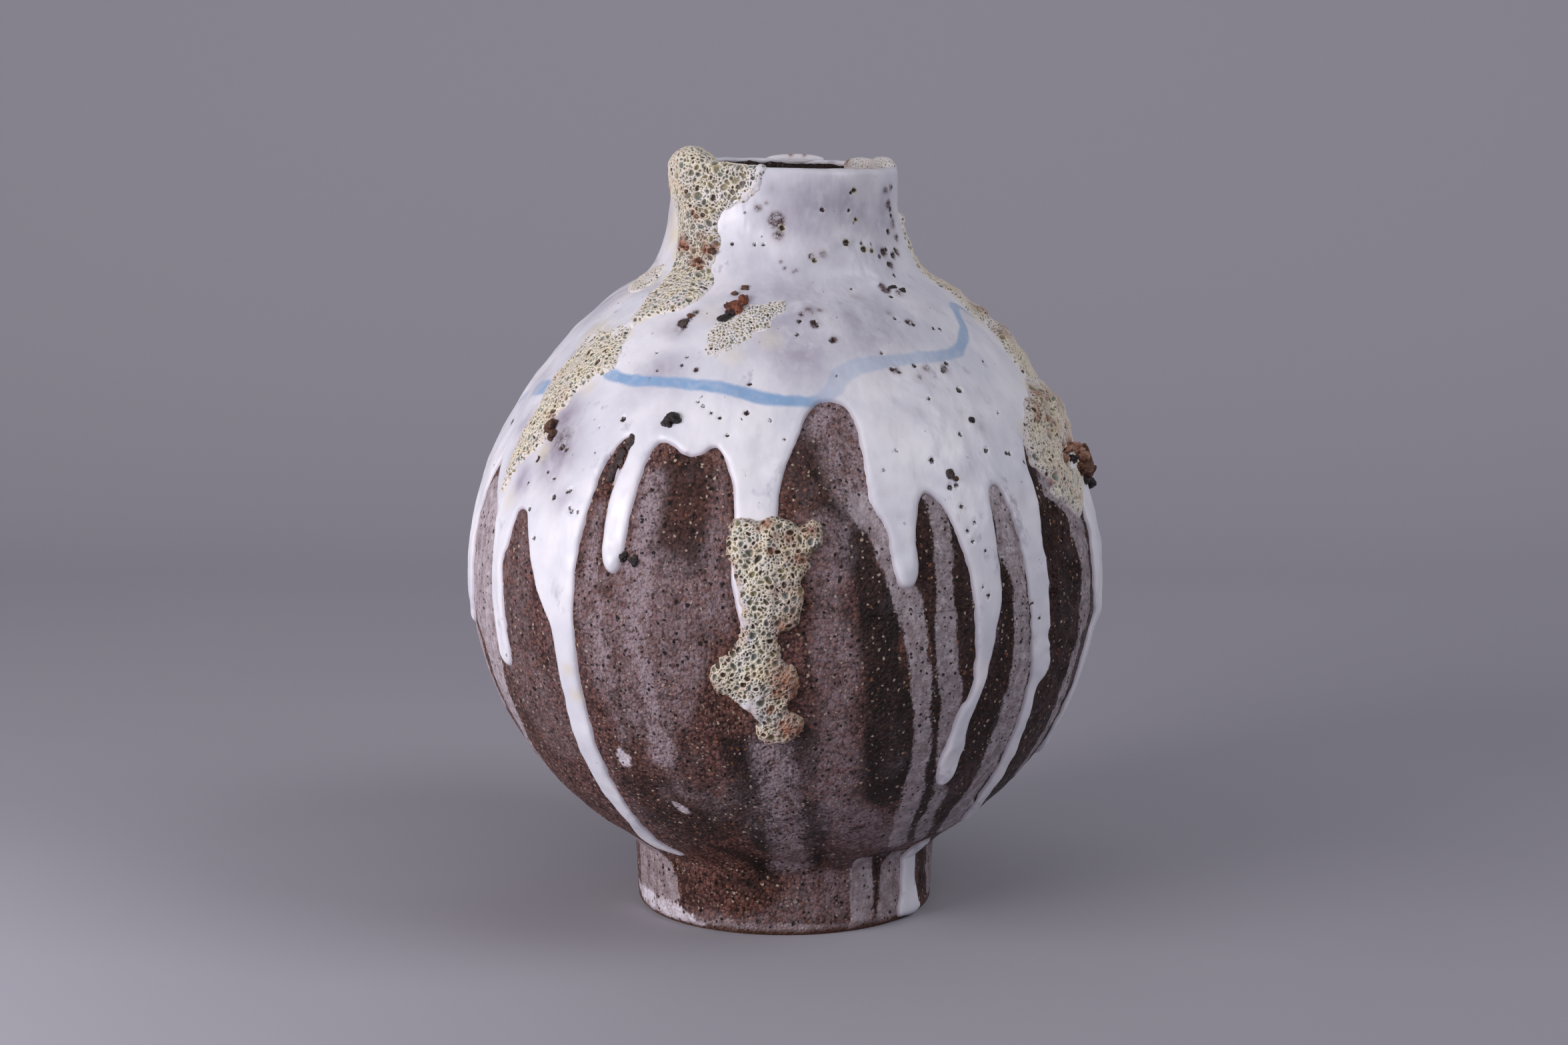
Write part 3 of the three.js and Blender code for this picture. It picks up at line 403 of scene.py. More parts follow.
def curve_points(corners, steps=60):
    """Points of a cubic curve with four control points."""
    p0, p1, p2, p3 = (np.array(c, float) for c in corners)
    t = np.linspace(0, 1, steps)[:, None]
    return p0 * (1 - t) ** 3 + 3 * p1 * t * (1 - t) ** 2 + 3 * p2 * t ** 2 * (1 - t) + p3 * t ** 3


def arc_points(centre, radius, start, end, steps=40):
    angle = np.linspace(start, end, steps)
    return np.stack([centre[0] + radius * np.cos(angle), centre[1] + radius * np.sin(angle)], axis=1)


def shoulder_curve():
    """The outside of the upper bowl, from the belly to the neck seam."""
    return curve_points([
        (BELLY_RADIUS, BELLY_HEIGHT), (BELLY_RADIUS, BELLY_HEIGHT + SHOULDER_RISE),
        (SHOULDER_RADIUS + SHOULDER_RUN, SHOULDER_HEIGHT - SHOULDER_DROP),
        (SHOULDER_RADIUS, SHOULDER_HEIGHT),
    ])


def outside_points():
    """The outside from the foot, over the lip and down inside the neck, as (radius, height)."""
    start = math.asin((FOOT_HEIGHT + CREASE_RISE - BELLY_HEIGHT) / BELLY_RADIUS)
    waist = RIM_HEIGHT - NECK_WAIST_DROP
    lip = LIP_THICKNESS / 2
    return np.concatenate([
        [(FOOT_RADIUS - FOOT_CHAMFER, 0), (FOOT_RADIUS, FOOT_CHAMFER), (FOOT_TOP_RADIUS, FOOT_HEIGHT - 1)],
        arc_points((0, BELLY_HEIGHT), BELLY_RADIUS, start, 0),
        shoulder_curve()[1:],
        curve_points([
            (SHOULDER_RADIUS, SHOULDER_HEIGHT),
            (SHOULDER_RADIUS - NECK_ROOT_RISE, SHOULDER_HEIGHT + NECK_ROOT_RISE),
            (NECK_WAIST + NECK_ROOT_RISE, waist - NECK_CURVE_RISE), (NECK_WAIST, waist),
        ])[1:],
        arc_points((LIP_RADIUS - lip, RIM_HEIGHT - lip), lip, 0, math.pi),
        [(THROAT_RADIUS, THROAT_HEIGHT)],
    ])


def even_path(points, step):
    """The same path in even steps: distance along it, radius, height and the outward normal."""
    lengths = np.concatenate([[0], np.cumsum(np.hypot(*np.diff(points, axis=0).T))])
    along = np.linspace(0, lengths[-1], int(lengths[-1] / step))
    radius = np.interp(along, lengths, points[:, 0])
    height = np.interp(along, lengths, points[:, 1])
    for _ in range(2):
        radius[2:-2] = np.convolve(radius, CORNER_BLUR, "valid")
        height[2:-2] = np.convolve(height, CORNER_BLUR, "valid")
    # The crease at the neck seam is blurred more widely than the corners
    wide = np.exp(-np.linspace(-2.5, 2.5, 2 * int(2.5 * SEAM_BLUR / step) + 1) ** 2 / 2)
    wide /= wide.sum()
    seam = int(np.argmin(np.hypot(radius - SHOULDER_RADIUS, height - SHOULDER_HEIGHT)))
    near = np.exp(-((along - along[seam]) / SEAM_REACH) ** 2)
    radius += near * (np.convolve(radius, wide, "same") - radius)
    height += near * (np.convolve(height, wide, "same") - height)
    out_r = np.gradient(height, along)
    out_z = -np.gradient(radius, along)
    size = np.hypot(out_r, out_z)
    return along, radius, height, out_r / size, out_z / size


PATH, PATH_RADIUS, PATH_HEIGHT, OUT_R, OUT_Z = even_path(outside_points(), PATH_STEP)
LIP_TOP = int(np.argmax(PATH_HEIGHT))


def along_at(height):
    """Distance along the wall at an outside height, counting on over the lip above the rim."""
    height = np.asarray(height, float)
    outside = np.interp(height, PATH_HEIGHT[:LIP_TOP + 1], PATH[:LIP_TOP + 1])
    return outside + np.maximum(height - PATH_HEIGHT[LIP_TOP], 0)


def ring_radius(height):
    return float(np.interp(height, PATH_HEIGHT[:LIP_TOP], PATH_RADIUS[:LIP_TOP]))


def turned(angle, radius, height):
    """Points round the jar's axis. The neck leans a little, so the rim dips towards +X."""
    x = radius * np.sin(angle)
    rise = np.clip((height - SHOULDER_HEIGHT) / NECK_HEIGHT, 0, 1)
    z = height - RIM_DIP * x / LIP_RADIUS * rise ** 2
    return np.stack([x, -radius * np.cos(angle), z], axis=-1)


def segments(line):
    """A line's numbered segments, as azimuths and distances along the wall, also one turn to either side."""
    points = [(azimuth, float(along_at(height))) for azimuth, height in line]
    for turn in (-360, 0, 360):
        for number, ((a0, s0), (a1, s1)) in enumerate(zip(points[:-1], points[1:])):
            yield number, a0 + turn, s0, a1 + turn, s1


def rounded(line, passes=2):
    """Cuts the corners of a line of points, which keeps its ends."""
    points = np.array(line, float)
    for _ in range(passes):
        first = points[:-1] * 0.75 + points[1:] * 0.25
        second = points[:-1] * 0.25 + points[1:] * 0.75
        middle = np.stack([first, second], axis=1).reshape(-1, points.shape[1])
        points = np.concatenate([points[:1], middle, points[-1:]])
    return points


def picked(nearer, new, old):
    """The new values where they are nearer, and the old ones elsewhere."""
    return [np.where(nearer, *pair) for pair in zip(new, old)]


class Surface:
    """A grid on the wall. Rows run along the outline and columns run round the jar."""

    def __init__(self, azimuths, alongs):
        self.azimuth = np.asarray(azimuths, float)
        self.along = np.asarray(alongs, float)
        self.radius = np.interp(self.along, PATH, PATH_RADIUS)
        self.height = np.interp(self.along, PATH, PATH_HEIGHT)
        self.out_r = np.interp(self.along, PATH, OUT_R)
        self.out_z = np.interp(self.along, PATH, OUT_Z)
        self.shape = (len(self.along), len(self.azimuth))
        self.base = self.place(0)

    def place(self, out):
        """Points at a distance out from the wall, in millimetres."""
        out = np.broadcast_to(np.asarray(out, float), self.shape)
        radius = self.radius[:, None] + self.out_r[:, None] * out
        height = self.height[:, None] + self.out_z[:, None] * out
        return turned(np.radians(self.azimuth)[None, :], radius, height)

    def noise(self, size, seed, stretch=1.0):
        return noise_at(self.base, size, seed, stretch)

    def layers(self, sizes, seed):
        """Noise of several sizes and amounts, added up. A third number draws it out along the height."""
        total = np.zeros(self.shape)
        for number, (size, amount, *stretch) in enumerate(sizes):
            total += amount * self.noise(size, seed + number, *stretch)
        return total

    def window(self, azimuth, along, reach):
        """The rows and columns within reach of a place, and their distances from it."""
        rows = slice(*np.searchsorted(self.along, [along - reach, along + reach]))
        width = math.degrees(reach / NARROWEST_RING)
        columns = slice(*np.searchsorted(self.azimuth, [azimuth - width, azimuth + width]))
        across = self.radius[rows, None] * np.radians(self.azimuth[None, columns] - azimuth)
        up = self.along[rows, None] - along
        return (rows, columns), across, up

    def gap_to_line(self, line, reach=REACH):
        """Distance to a line of (azimuth, height) points, and how far along it the nearest point lies."""
        gap = np.full(self.shape, float(reach))
        place = np.zeros(self.shape)
        for number, a0, s0, a1, s1 in segments(line):
            rows = slice(*np.searchsorted(self.along, [min(s0, s1) - reach, max(s0, s1) + reach]))
            if rows.start >= rows.stop:
                continue
            width = math.degrees(reach / self.radius[rows].min())
            edges = [min(a0, a1) - width, max(a0, a1) + width]
            columns = slice(*np.searchsorted(self.azimuth, edges))
            if columns.start >= columns.stop:
                continue
            ring = self.radius[rows, None]
            dx = ring * np.radians(self.azimuth[None, columns] - a0)
            dy = self.along[rows, None] - s0
            ex = ring * math.radians(a1 - a0)
            ey = s1 - s0
            share = np.clip((dx * ex + dy * ey) / np.maximum(ex * ex + ey * ey, TINY), 0, 1)
            found = np.hypot(dx - share * ex, dy - share * ey)
            old = gap[rows, columns], place[rows, columns]
            gap[rows, columns], place[rows, columns] = picked(found < old[0], (found, number + share), old)
        return gap, place

    def inside_of(self, line):
        """True where an odd number of the line's segments lies below a grid point."""
        inside = np.zeros(self.shape, bool)
        for _, a0, s0, a1, s1 in segments(line):
            columns = slice(*np.searchsorted(self.azimuth, [min(a0, a1), max(a0, a1)]))
            if columns.start >= columns.stop:
                continue
            crossing = s0 + (s1 - s0) * (self.azimuth[columns] - a0) / (a1 - a0)
            inside[:, columns] ^= self.along[:, None] > crossing[None, :]
        return inside

    def signed_gap(self, line, reach=REACH):
        """Distance to a line that closes on itself, positive inside it."""
        gap, _ = self.gap_to_line(line, reach)
        return np.where(self.inside_of(line), gap, -gap)

    def depth_in(self, loop, reach=REACH):
        """Signed distance to a loop with its corners cut, positive inside it."""
        return self.signed_gap(rounded(list(loop) + [loop[0]]), reach)

    def bump_at(self, azimuth, height, radius, amount):
        """A soft mound on the grid."""
        field = np.zeros(self.shape)
        window, across, up = self.window(azimuth, float(along_at(height)), radius * MOUND_REACH)
        field[window] = amount * np.exp(-(across ** 2 + up ** 2) / radius ** 2)
        return field

    def with_mounds(self, body, mounds):
        """A thickness with soft mounds on it, each as azimuth, height, radius and amount."""
        for mound in mounds:
            body = body + self.bump_at(*mound)
        return body

    def spots(self, spots):
        """Soft spots: the strongest of several, each as azimuth, height, radius and strength."""
        field = np.zeros(self.shape)
        for spot in spots:
            field = np.maximum(field, self.bump_at(*spot))
        return field


# Meshes

def linked(name, data):
    made = bpy.data.objects.new(name, data)
    bpy.context.collection.objects.link(made)
    return made


def mesh_object(name, points, faces, fields=None, normals=None):
    """A smooth mesh object from points in millimetres and an array of triangles or quads."""
    mesh = bpy.data.meshes.new(name)
    mesh.vertices.add(len(points))
    mesh.vertices.foreach_set("co", (points * MM).astype(np.float32).ravel())
    mesh.loops.add(faces.size)
    mesh.loops.foreach_set("vertex_index", faces.astype(np.int32).ravel())
    mesh.polygons.add(len(faces))
    mesh.polygons.foreach_set("loop_start", np.arange(0, faces.size, faces.shape[1], dtype=np.int32))
    mesh.update(calc_edges=True)
    for field, values in (fields or {}).items():
        attribute = mesh.attributes.new(field, "FLOAT", "POINT")
        attribute.data.foreach_set("value", np.asarray(values, np.float32).ravel())
    mesh.shade_smooth()
    if normals is not None:
        mesh.normals_split_custom_set_from_vertices(normals.astype(np.float32))
    return linked(name, mesh)


def dress(piece, material, node):
    """Gives a piece its material, hides the CAD node it stands for and attaches the piece to the root body.
    """
    piece.data.materials.append(material)
    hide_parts(node)
    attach(piece, "root")


def cell_corners(grid):
    """The four corners of each cell of a grid, anticlockwise as seen from outside."""
    return grid[:-1, :-1], grid[:-1, 1:], grid[1:, 1:], grid[1:, :-1]


def closed_ring(grid):
    """A grid with its first column once more at its end."""
    return np.concatenate([grid, grid[:, :1]], axis=1)


def grid_faces(shape, ring):
    """Quads of a grid, facing out. A ring joins its last column to its first."""
    index = np.arange(math.prod(shape)).reshape(shape)
    return np.stack(cell_corners(closed_ring(index) if ring else index), axis=-1)


def grid_normals(points, ring):
    """Normals of a grid of points, from its neighbours on each side."""
    if ring:
        wide = np.concatenate([points[:, -1:], points, points[:, :1]], axis=1)
        across = wide[:, 2:] - wide[:, :-2]
    else:
        across = np.gradient(points, axis=1)
    normal = np.cross(across, np.gradient(points, axis=0))
    return normal / np.maximum(np.linalg.norm(normal, axis=-1, keepdims=True), TINY)


def sheet_object(name, points, shown, fields, ring=False):
    """A piece from a grid, with only the cells that touch a shown point and only the points they use."""
    touched = np.any(cell_corners(closed_ring(shown) if ring else shown), axis=0)
    faces = grid_faces(points.shape[:2], ring)[touched]
    normals = grid_normals(points, ring).reshape(-1, 3)
    used = np.zeros(shown.size, bool)
    used[faces.ravel()] = True
    place = np.cumsum(used) - 1
    kept = {field: np.asarray(values).ravel()[used] for field, values in fields.items()}
    return mesh_object(name, points.reshape(-1, 3)[used], place[faces], kept, normals[used])


# Materials

class Tree:
    """One material's nodes. A call adds a node and gives back its output. paint changes the colour so far."""

    def __init__(self, name):
        self.material = bpy.data.materials.new(name)
        self.material.use_nodes = True
        self.nodes = self.material.node_tree.nodes
        self.shader = self.nodes["Principled BSDF"]
        self.place = self.nodes.new("ShaderNodeTexCoord").outputs["Object"]

    def join(self, socket, value):
        if isinstance(value, bpy.types.NodeSocket):
            self.material.node_tree.links.new(value, socket)
        else:
            socket.default_value = value

    def add(self, kind, settings, inputs):
        node = self.nodes.new(kind)
        for key, value in settings.items():
            setattr(node, key, value)
        for key, value in inputs.items():
            self.join(node.inputs[key], value)
        return node

    def stretched(self, stretch):
        """Coordinates that draw patterns out along the jar's height."""
        if stretch == 1:
            return self.place
        node = self.add("ShaderNodeMapping", {}, {"Vector": self.place, "Scale": (1, 1, 1 / stretch)})
        return node.outputs["Vector"]

    def noise(self, size, detail, rough, stretch=1):
        inputs = {"Vector": self.stretched(stretch), "Scale": 1 / (size * MM), "Detail": detail,
                  "Roughness": rough}
        return self.add("ShaderNodeTexNoise", {}, inputs).outputs["Fac"]

    def fit(self, value, low, high, to_low=0.0, to_high=1.0):
        inputs = {"Value": value, "From Min": low, "From Max": high, "To Min": to_low, "To Max": to_high}
        return self.add("ShaderNodeMapRange", {"interpolation_type": "SMOOTHSTEP"}, inputs).outputs["Result"]

    def maths(self, operation, first, second):
        return self.add("ShaderNodeMath", {"operation": operation}, {0: first, 1: second}).outputs[0]

    def times(self, first, second):
        return self.maths("MULTIPLY", first, second)

    def plus(self, first, second):
        return self.maths("ADD", first, second)

    def minus(self, first, second):
        return self.maths("SUBTRACT", first, second)

    def most(self, first, second):
        return self.maths("MAXIMUM", first, second)

    def mix(self, share, first, second):
        node = self.add("ShaderNodeMix", {"data_type": "RGBA"}, {"Factor": share, 6: first, 7: second})
        return node.outputs[2]

    def paint(self, share, colour):
        """Lays a share of one more colour over the colour so far."""
        self.colour = self.mix(share, self.colour, colour)

    def field(self, name):
        return self.add("ShaderNodeAttribute", {"attribute_name": name}, {}).outputs["Fac"]

    def crumpled(self, size, reach):
        """Coordinates pushed about by noise, in millimetres, which turns round spots into uneven ones."""
        inputs = {"Vector": self.place, "Scale": 1 / (size * MM), "Detail": 2.0}
        push = self.add("ShaderNodeTexNoise", {}, inputs).outputs["Color"]
        scale = (reach * MM,) * 3
        inputs = {0: push, 1: scale, 2: self.place}
        return self.add("ShaderNodeVectorMath", {"operation": "MULTIPLY_ADD"}, inputs).outputs[0]

    def grains(self, size, vector=None):
        """Packed grains: how far from the middle of its grain a point lies, and a number for each grain."""
        inputs = {"Vector": vector or self.place, "Scale": 1 / (size * MM)}
        found = self.add("ShaderNodeTexVoronoi", {"feature": "F1"}, inputs).outputs
        number = self.add("ShaderNodeSeparateColor", {}, {"Color": found["Color"]}).outputs["Red"]
        return found["Distance"], number

    def specks(self, size, share, radius, vector=None):
        """Specks in a share of the cells, from 0 to 1. The radius is a part of the cell."""
        distance, chance = self.grains(size, vector)
        grown = self.fit(chance, 1 - share, 1, 0, radius)
        return self.fit(self.minus(grown, distance), 0, radius * 0.35)

    def bump(self, height, depth, strength, below=None):
        inputs = {"Height": height, "Distance": depth * MM, "Strength": strength}
        if below is not None:
            inputs["Normal"] = below
        return self.add("ShaderNodeBump", {}, inputs).outputs["Normal"]

    def finish(self, roughness, normal, gloss):
        self.join(self.shader.inputs["Base Color"], self.colour)
        self.join(self.shader.inputs["Roughness"], roughness)
        self.shader.inputs["Specular IOR Level"].default_value = gloss
        if normal is not None:
            self.join(self.shader.inputs["Normal"], normal)
        return self.material


def tone(red, green, blue):
    """A colour given as it shows on screen, from 0 to 255."""
    return tuple((c / 255) ** 2.2 for c in (red, green, blue)) + (1.0,)


# Colours of the clay, the glaze, the crusts, the stones, the paper and the room
CLAY_BROWN = tone(116, 72, 61)
CLAY_LILAC = tone(132, 93, 92)
CLAY_DEEP = tone(80, 47, 40)
CLAY_GRAIN = tone(152, 112, 102)
CLAY_PALE_GRAIN = tone(170, 130, 118)
CLAY_BAND = tone(36, 21, 18)
CLAY_DARK_GRAIN = tone(36, 20, 17)
CLAY_GAP = tone(30, 17, 14)
CLAY_CRACK = tone(20, 12, 10)
GROG_ORANGE = tone(150, 96, 66)
GROG_CREAM = tone(212, 188, 168)
FILM_GREY = tone(174, 154, 160)
WASH_GREY = tone(160, 145, 149)
WASH_PALE = tone(202, 189, 196)
WASH_WHITE = tone(226, 217, 227)
CLAY_PIT = tone(22, 14, 13)
CLAY_BARE = tone(96, 58, 38)
CLAY_INSIDE_SHADE = tone(40, 32, 31)
GLAZE_COOL = tone(223, 222, 232)
GLAZE_WHITE = tone(240, 237, 243)
GLAZE_THIN_AND_SHADE = tone(168, 161, 178)
GLAZE_EDGE = tone(176, 164, 176)
GLAZE_CREAM = tone(226, 212, 178)
GLAZE_BLUE = tone(138, 170, 208)
GLAZE_SMUDGE = tone(106, 84, 88)
GLAZE_BURNT = tone(52, 32, 28)
GLAZE_HALO = tone(168, 158, 96)
GLAZE_HOLE = tone(50, 32, 28)
GLAZE_PINHOLE = tone(66, 44, 38)
GLAZE_FINE_HOLE = tone(126, 104, 104)
CRUST_CREAM = tone(232, 220, 198)
CRUST_PALE = tone(222, 212, 202)
CRUST_WARM = tone(222, 196, 176)
CRUST_SKIN = tone(230, 226, 234)
CRUST_BURNT = tone(186, 158, 142)
HOLLOW_OLIVE = tone(150, 140, 104)
HOLLOW_GREY = tone(128, 138, 136)
HOLLOW_DEEP_SHADE = tone(98, 88, 70)
HOLLOW_DARK = tone(62, 42, 32)
CRUST_PIT = tone(84, 66, 54)
RUST_LIGHT = tone(172, 112, 84)
RUST_DARK = tone(84, 48, 38)
STONE_GRAIN = tone(150, 120, 100)
STONE_PIT = tone(16, 12, 12)
PAPER_DARK = tone(168, 165, 174)
PAPER_LIGHT = tone(172, 169, 178)
PAPER_FAR_LIT = tone(180, 177, 186)
ROOM_TONE = tone(150, 150, 158)


def clay_material():
    t = Tree("grogged_clay")
    uneven = t.crumpled(1.2, 1.6)
    broad = t.noise(45, 3, 0.55, stretch=2.2)
    patches = t.noise(13, 5, 0.68, stretch=1.5)
    grain = t.noise(1.15, 4, 0.75)
    gap, number = t.grains(1.5, t.crumpled(1.6, 1.4))
    t.colour = t.mix(t.fit(broad, 0.36, 0.64), CLAY_BROWN, CLAY_LILAC)
    t.paint(t.fit(patches, 0.42, 0.62, 0, 0.8), CLAY_DEEP)
    dark = t.times(t.field("dark"), t.fit(patches, 0.25, 0.6, 0.7, 1))
    light = t.fit(dark, 0.2, 1, 1, 0.3)
    t.paint(t.times(t.fit(number, 0.5, 1, 0, 0.5), light), CLAY_GRAIN)
    t.paint(t.times(t.fit(grain, 0.52, 0.68, 0, 0.5), light), CLAY_PALE_GRAIN)
    t.paint(t.times(dark, 0.93), CLAY_BAND)
    t.paint(t.fit(number, 0.45, 0, 0, 0.6), CLAY_DARK_GRAIN)
    t.paint(t.fit(gap, 0.42, 0.8, 0, 0.7), CLAY_GAP)
    t.paint(t.fit(grain, 0.46, 0.32, 0, 0.7), CLAY_CRACK)
    cream = t.specks(2.1, 0.75, 0.36, uneven)
    large_cream = t.specks(5.2, 0.5, 0.2, uneven)
    orange = t.specks(2.9, 0.7, 0.32, uneven)
    t.paint(t.times(orange, 0.75), GROG_ORANGE)
    t.paint(t.times(t.most(cream, large_cream), 0.88), GROG_CREAM)
    streaks = t.noise(5, 5, 0.7, stretch=6)
    worn = t.fit(t.noise(1.4, 4, 0.7), 0.34, 0.56, 0.1, 1)
    haze = t.times(t.fit(t.noise(26, 4, 0.6, stretch=5), 0.5, 0.72), 0.25)
    blotches = t.noise(5, 5, 0.75)
    mottle = t.times(t.fit(streaks, 0.3, 0.6, 0.5, 1.3), t.fit(blotches, 0.36, 0.58, 0.3, 1.2))
    film = t.most(t.times(t.field("film"), mottle), haze)
    t.paint(t.times(film, worn), FILM_GREY)
    edge = t.plus(t.field("wash"), t.fit(t.noise(8, 4, 0.62, stretch=2), 0.25, 0.75, -1.3, 1.3))
    edge = t.plus(edge, t.fit(t.noise(1.3, 3, 0.7), 0.25, 0.75, -0.6, 0.6))
    wash = t.times(t.fit(edge, -WASH_EDGE, WASH_EDGE), t.field("wash_strength"))
    wash = t.times(wash, t.fit(t.noise(1.3, 4, 0.75), 0.3, 0.5, 0.5, 1))
    wash = t.times(wash, t.fit(t.noise(5, 5, 0.7), 0.32, 0.6, 1.05, 0.7))
    veil = t.mix(t.fit(t.noise(4, 5, 0.7, stretch=2.2), 0.35, 0.65), WASH_GREY, WASH_PALE)
    t.paint(wash, veil)
    t.paint(t.fit(wash, 1.0, 1.5), WASH_WHITE)
    pits = t.most(t.specks(2.3, 0.9, 0.35, uneven), t.specks(4.6, 0.8, 0.24, uneven))
    t.paint(t.times(pits, 0.92), CLAY_PIT)
    t.paint(t.field("bare"), CLAY_BARE)
    # Painted shade inside the neck and the jar, laid over the darker colour of the unglazed clay there
    t.paint(t.times(t.field("inside"), 0.85), CLAY_INSIDE_SHADE)
    lumps = t.plus(cream, t.times(t.minus(grain, gap), 2))
    rise = t.minus(lumps, t.times(pits, 1.5))
    rough = t.bump(t.noise(4, 4, 0.75), 1.2, 0.7)
    calm = t.fit(wash, 0.2, 1, 1, 0.4)
    normal = t.bump(rise, 0.55, calm, rough)
    shine = t.fit(t.noise(2.2, 3, 0.6), 0.3, 0.7, 0.3, 0.6)
    return t.finish(shine, normal, 0.3)


def glaze_material():
    t = Tree("white_glaze")
    uneven = t.crumpled(2.0, 2.4)
    t.colour = t.mix(t.fit(t.noise(26, 3, 0.5), 0.35, 0.65), GLAZE_COOL, GLAZE_WHITE)
    thin = t.fit(t.noise(8, 5, 0.64, stretch=1.8), 0.54, 0.74)
    thin = t.times(thin, t.fit(t.noise(42, 2, 0.5), 0.42, 0.64, 0.15, 0.9))
    # The thin field is thin glaze, and also painted shade on the right of the neck and the middle of the
    # shoulder
    veil = t.times(t.field("thin"), t.fit(t.noise(11, 5, 0.66, stretch=1.6), 0.3, 0.62, 0.55, 1.1))
    t.paint(t.most(thin, veil), GLAZE_THIN_AND_SHADE)
    edge = t.fit(t.field("depth"), 0.0, 1.5, 0.75, 0)
    t.paint(edge, GLAZE_EDGE)
    t.paint(t.field("cream"), GLAZE_CREAM)
    line = t.plus(t.field("blue_gap"), t.fit(t.noise(6, 3, 0.6), 0.3, 0.7, -0.4, 0.4))
    tint = t.times(t.fit(line, 1.2, -0.7), t.field("blue_tint"))
    tint = t.times(tint, t.fit(t.noise(6, 4, 0.6), 0.3, 0.6, 0.75, 1))
    t.paint(tint, GLAZE_BLUE)
    patch = t.field("dark")
    torn = t.fit(t.noise(2.2, 5, 0.72), 0.4, 0.52)
    smudge = t.times(t.fit(patch, 0.1, 0.75), torn)
    t.paint(t.most(smudge, t.times(patch, 0.5)), GLAZE_SMUDGE)
    core = t.times(t.fit(patch, 0.3, 0.7), t.fit(t.noise(1.2, 4, 0.7), 0.48, 0.55))
    t.paint(core, GLAZE_BURNT)
    t.paint(t.times(t.fit(t.field("halo"), -1.0, 0.2), 0.7), GLAZE_HALO)
    ragged = t.plus(t.field("hole"), t.fit(t.noise(0.9, 3, 0.6), 0.3, 0.7, -0.3, 0.3))
    t.paint(t.fit(ragged, -0.25, 0.25), GLAZE_HOLE)
    hole = t.specks(7.5, 0.5, 0.1, uneven)
    fine = t.specks(4.4, 0.45, 0.12, uneven)
    crowd = t.fit(t.noise(20, 2, 0.5), 0.36, 0.6, 0.3, 1)
    hole = t.times(hole, crowd)
    fine = t.times(fine, crowd)
    t.paint(t.times(hole, 0.9), GLAZE_PINHOLE)
    t.paint(t.times(fine, 0.55), GLAZE_FINE_HOLE)
    slow = t.bump(t.noise(16, 3, 0.5, stretch=2), 3.0, 0.55)
    wave = t.bump(t.noise(5, 3, 0.55), 0.4, 0.3, slow)
    holes = t.minus(1.0, t.most(hole, fine))
    normal = t.bump(holes, 0.5, 0.6, wave)
    shine = t.fit(t.noise(12, 3, 0.5), 0.35, 0.7, 0.32, 0.5)
    return t.finish(shine, normal, 0.5)


# Clay pieces

def below_lip(surface):
    """1 on the outside of the jar, falling to 0 past the top of the lip."""
    return 1 - smooth_step(surface.along - along_at(RIM_HEIGHT), *LIP_FADE)[:, None]


def above_foot(surface):
    """0 at the foot's edge, rising to 1 a little above it."""
    return smooth_step(surface.height, *FOOT_FADE)[:, None]


def clay_relief(surface):
    """The clay's lumps, and the torn ridges on the right of the belly."""
    azimuth, height, wide, tall, amount = TORN_PATCH
    torn = np.exp(-((surface.azimuth[None, :] - azimuth) / wide) ** 2
                  - ((surface.height[:, None] - height) / tall) ** 2)
    ridges = 0.8 - 2 * np.abs(surface.noise(TORN_SIZE, 21, stretch=TORN_STRETCH))
    return surface.layers(CLAY_RELIEF, 1) + torn * amount * ridges


def band_fields(surface, bands, reach=6):
    """How far inside the nearest band a point lies, and that band's strength."""
    depth = np.full(surface.shape, -float(reach))
    strength = np.zeros(surface.shape)
    for amount, rows in bands:
        left = [(left, height) for height, left, right in rows]
        right = [(right, height) for height, left, right in rows]
        found = surface.depth_in(left + right[::-1], reach)
        depth, strength = picked(found > depth, (found, amount), (depth, strength))
    return depth, strength


def soft_bands(surface, bands, soft):
    """The strongest of several bands that fade out over the soft width."""
    field = np.zeros(surface.shape)
    wobble = surface.layers(BAND_WOBBLE, 43)
    for band in bands:
        depth, _ = band_fields(surface, [band])
        field = np.maximum(field, band[0] * smooth_step(depth + wobble, -soft, soft))
    return field


def back_bands():
    """A wash down from each drip on the back, and a darker band beside it."""
    wash = []
    dark = []
    for azimuth, half, tip in BACK_DRIPS:
        spread = math.degrees(half / BACK_WASH_RADIUS)
        rows = [(height or tip, azimuth - spread * left, azimuth + spread * right)
                for height, left, right in BACK_WASH_ROWS]
        near, far = BACK_DARK_SIDES
        beside = [(height, right + spread * near, right + spread * far) for height, _, right in rows[:-1]]
        wash.append((BACK_WASH, rows))
        dark.append((BACK_DARK, beside))
    return wash, dark


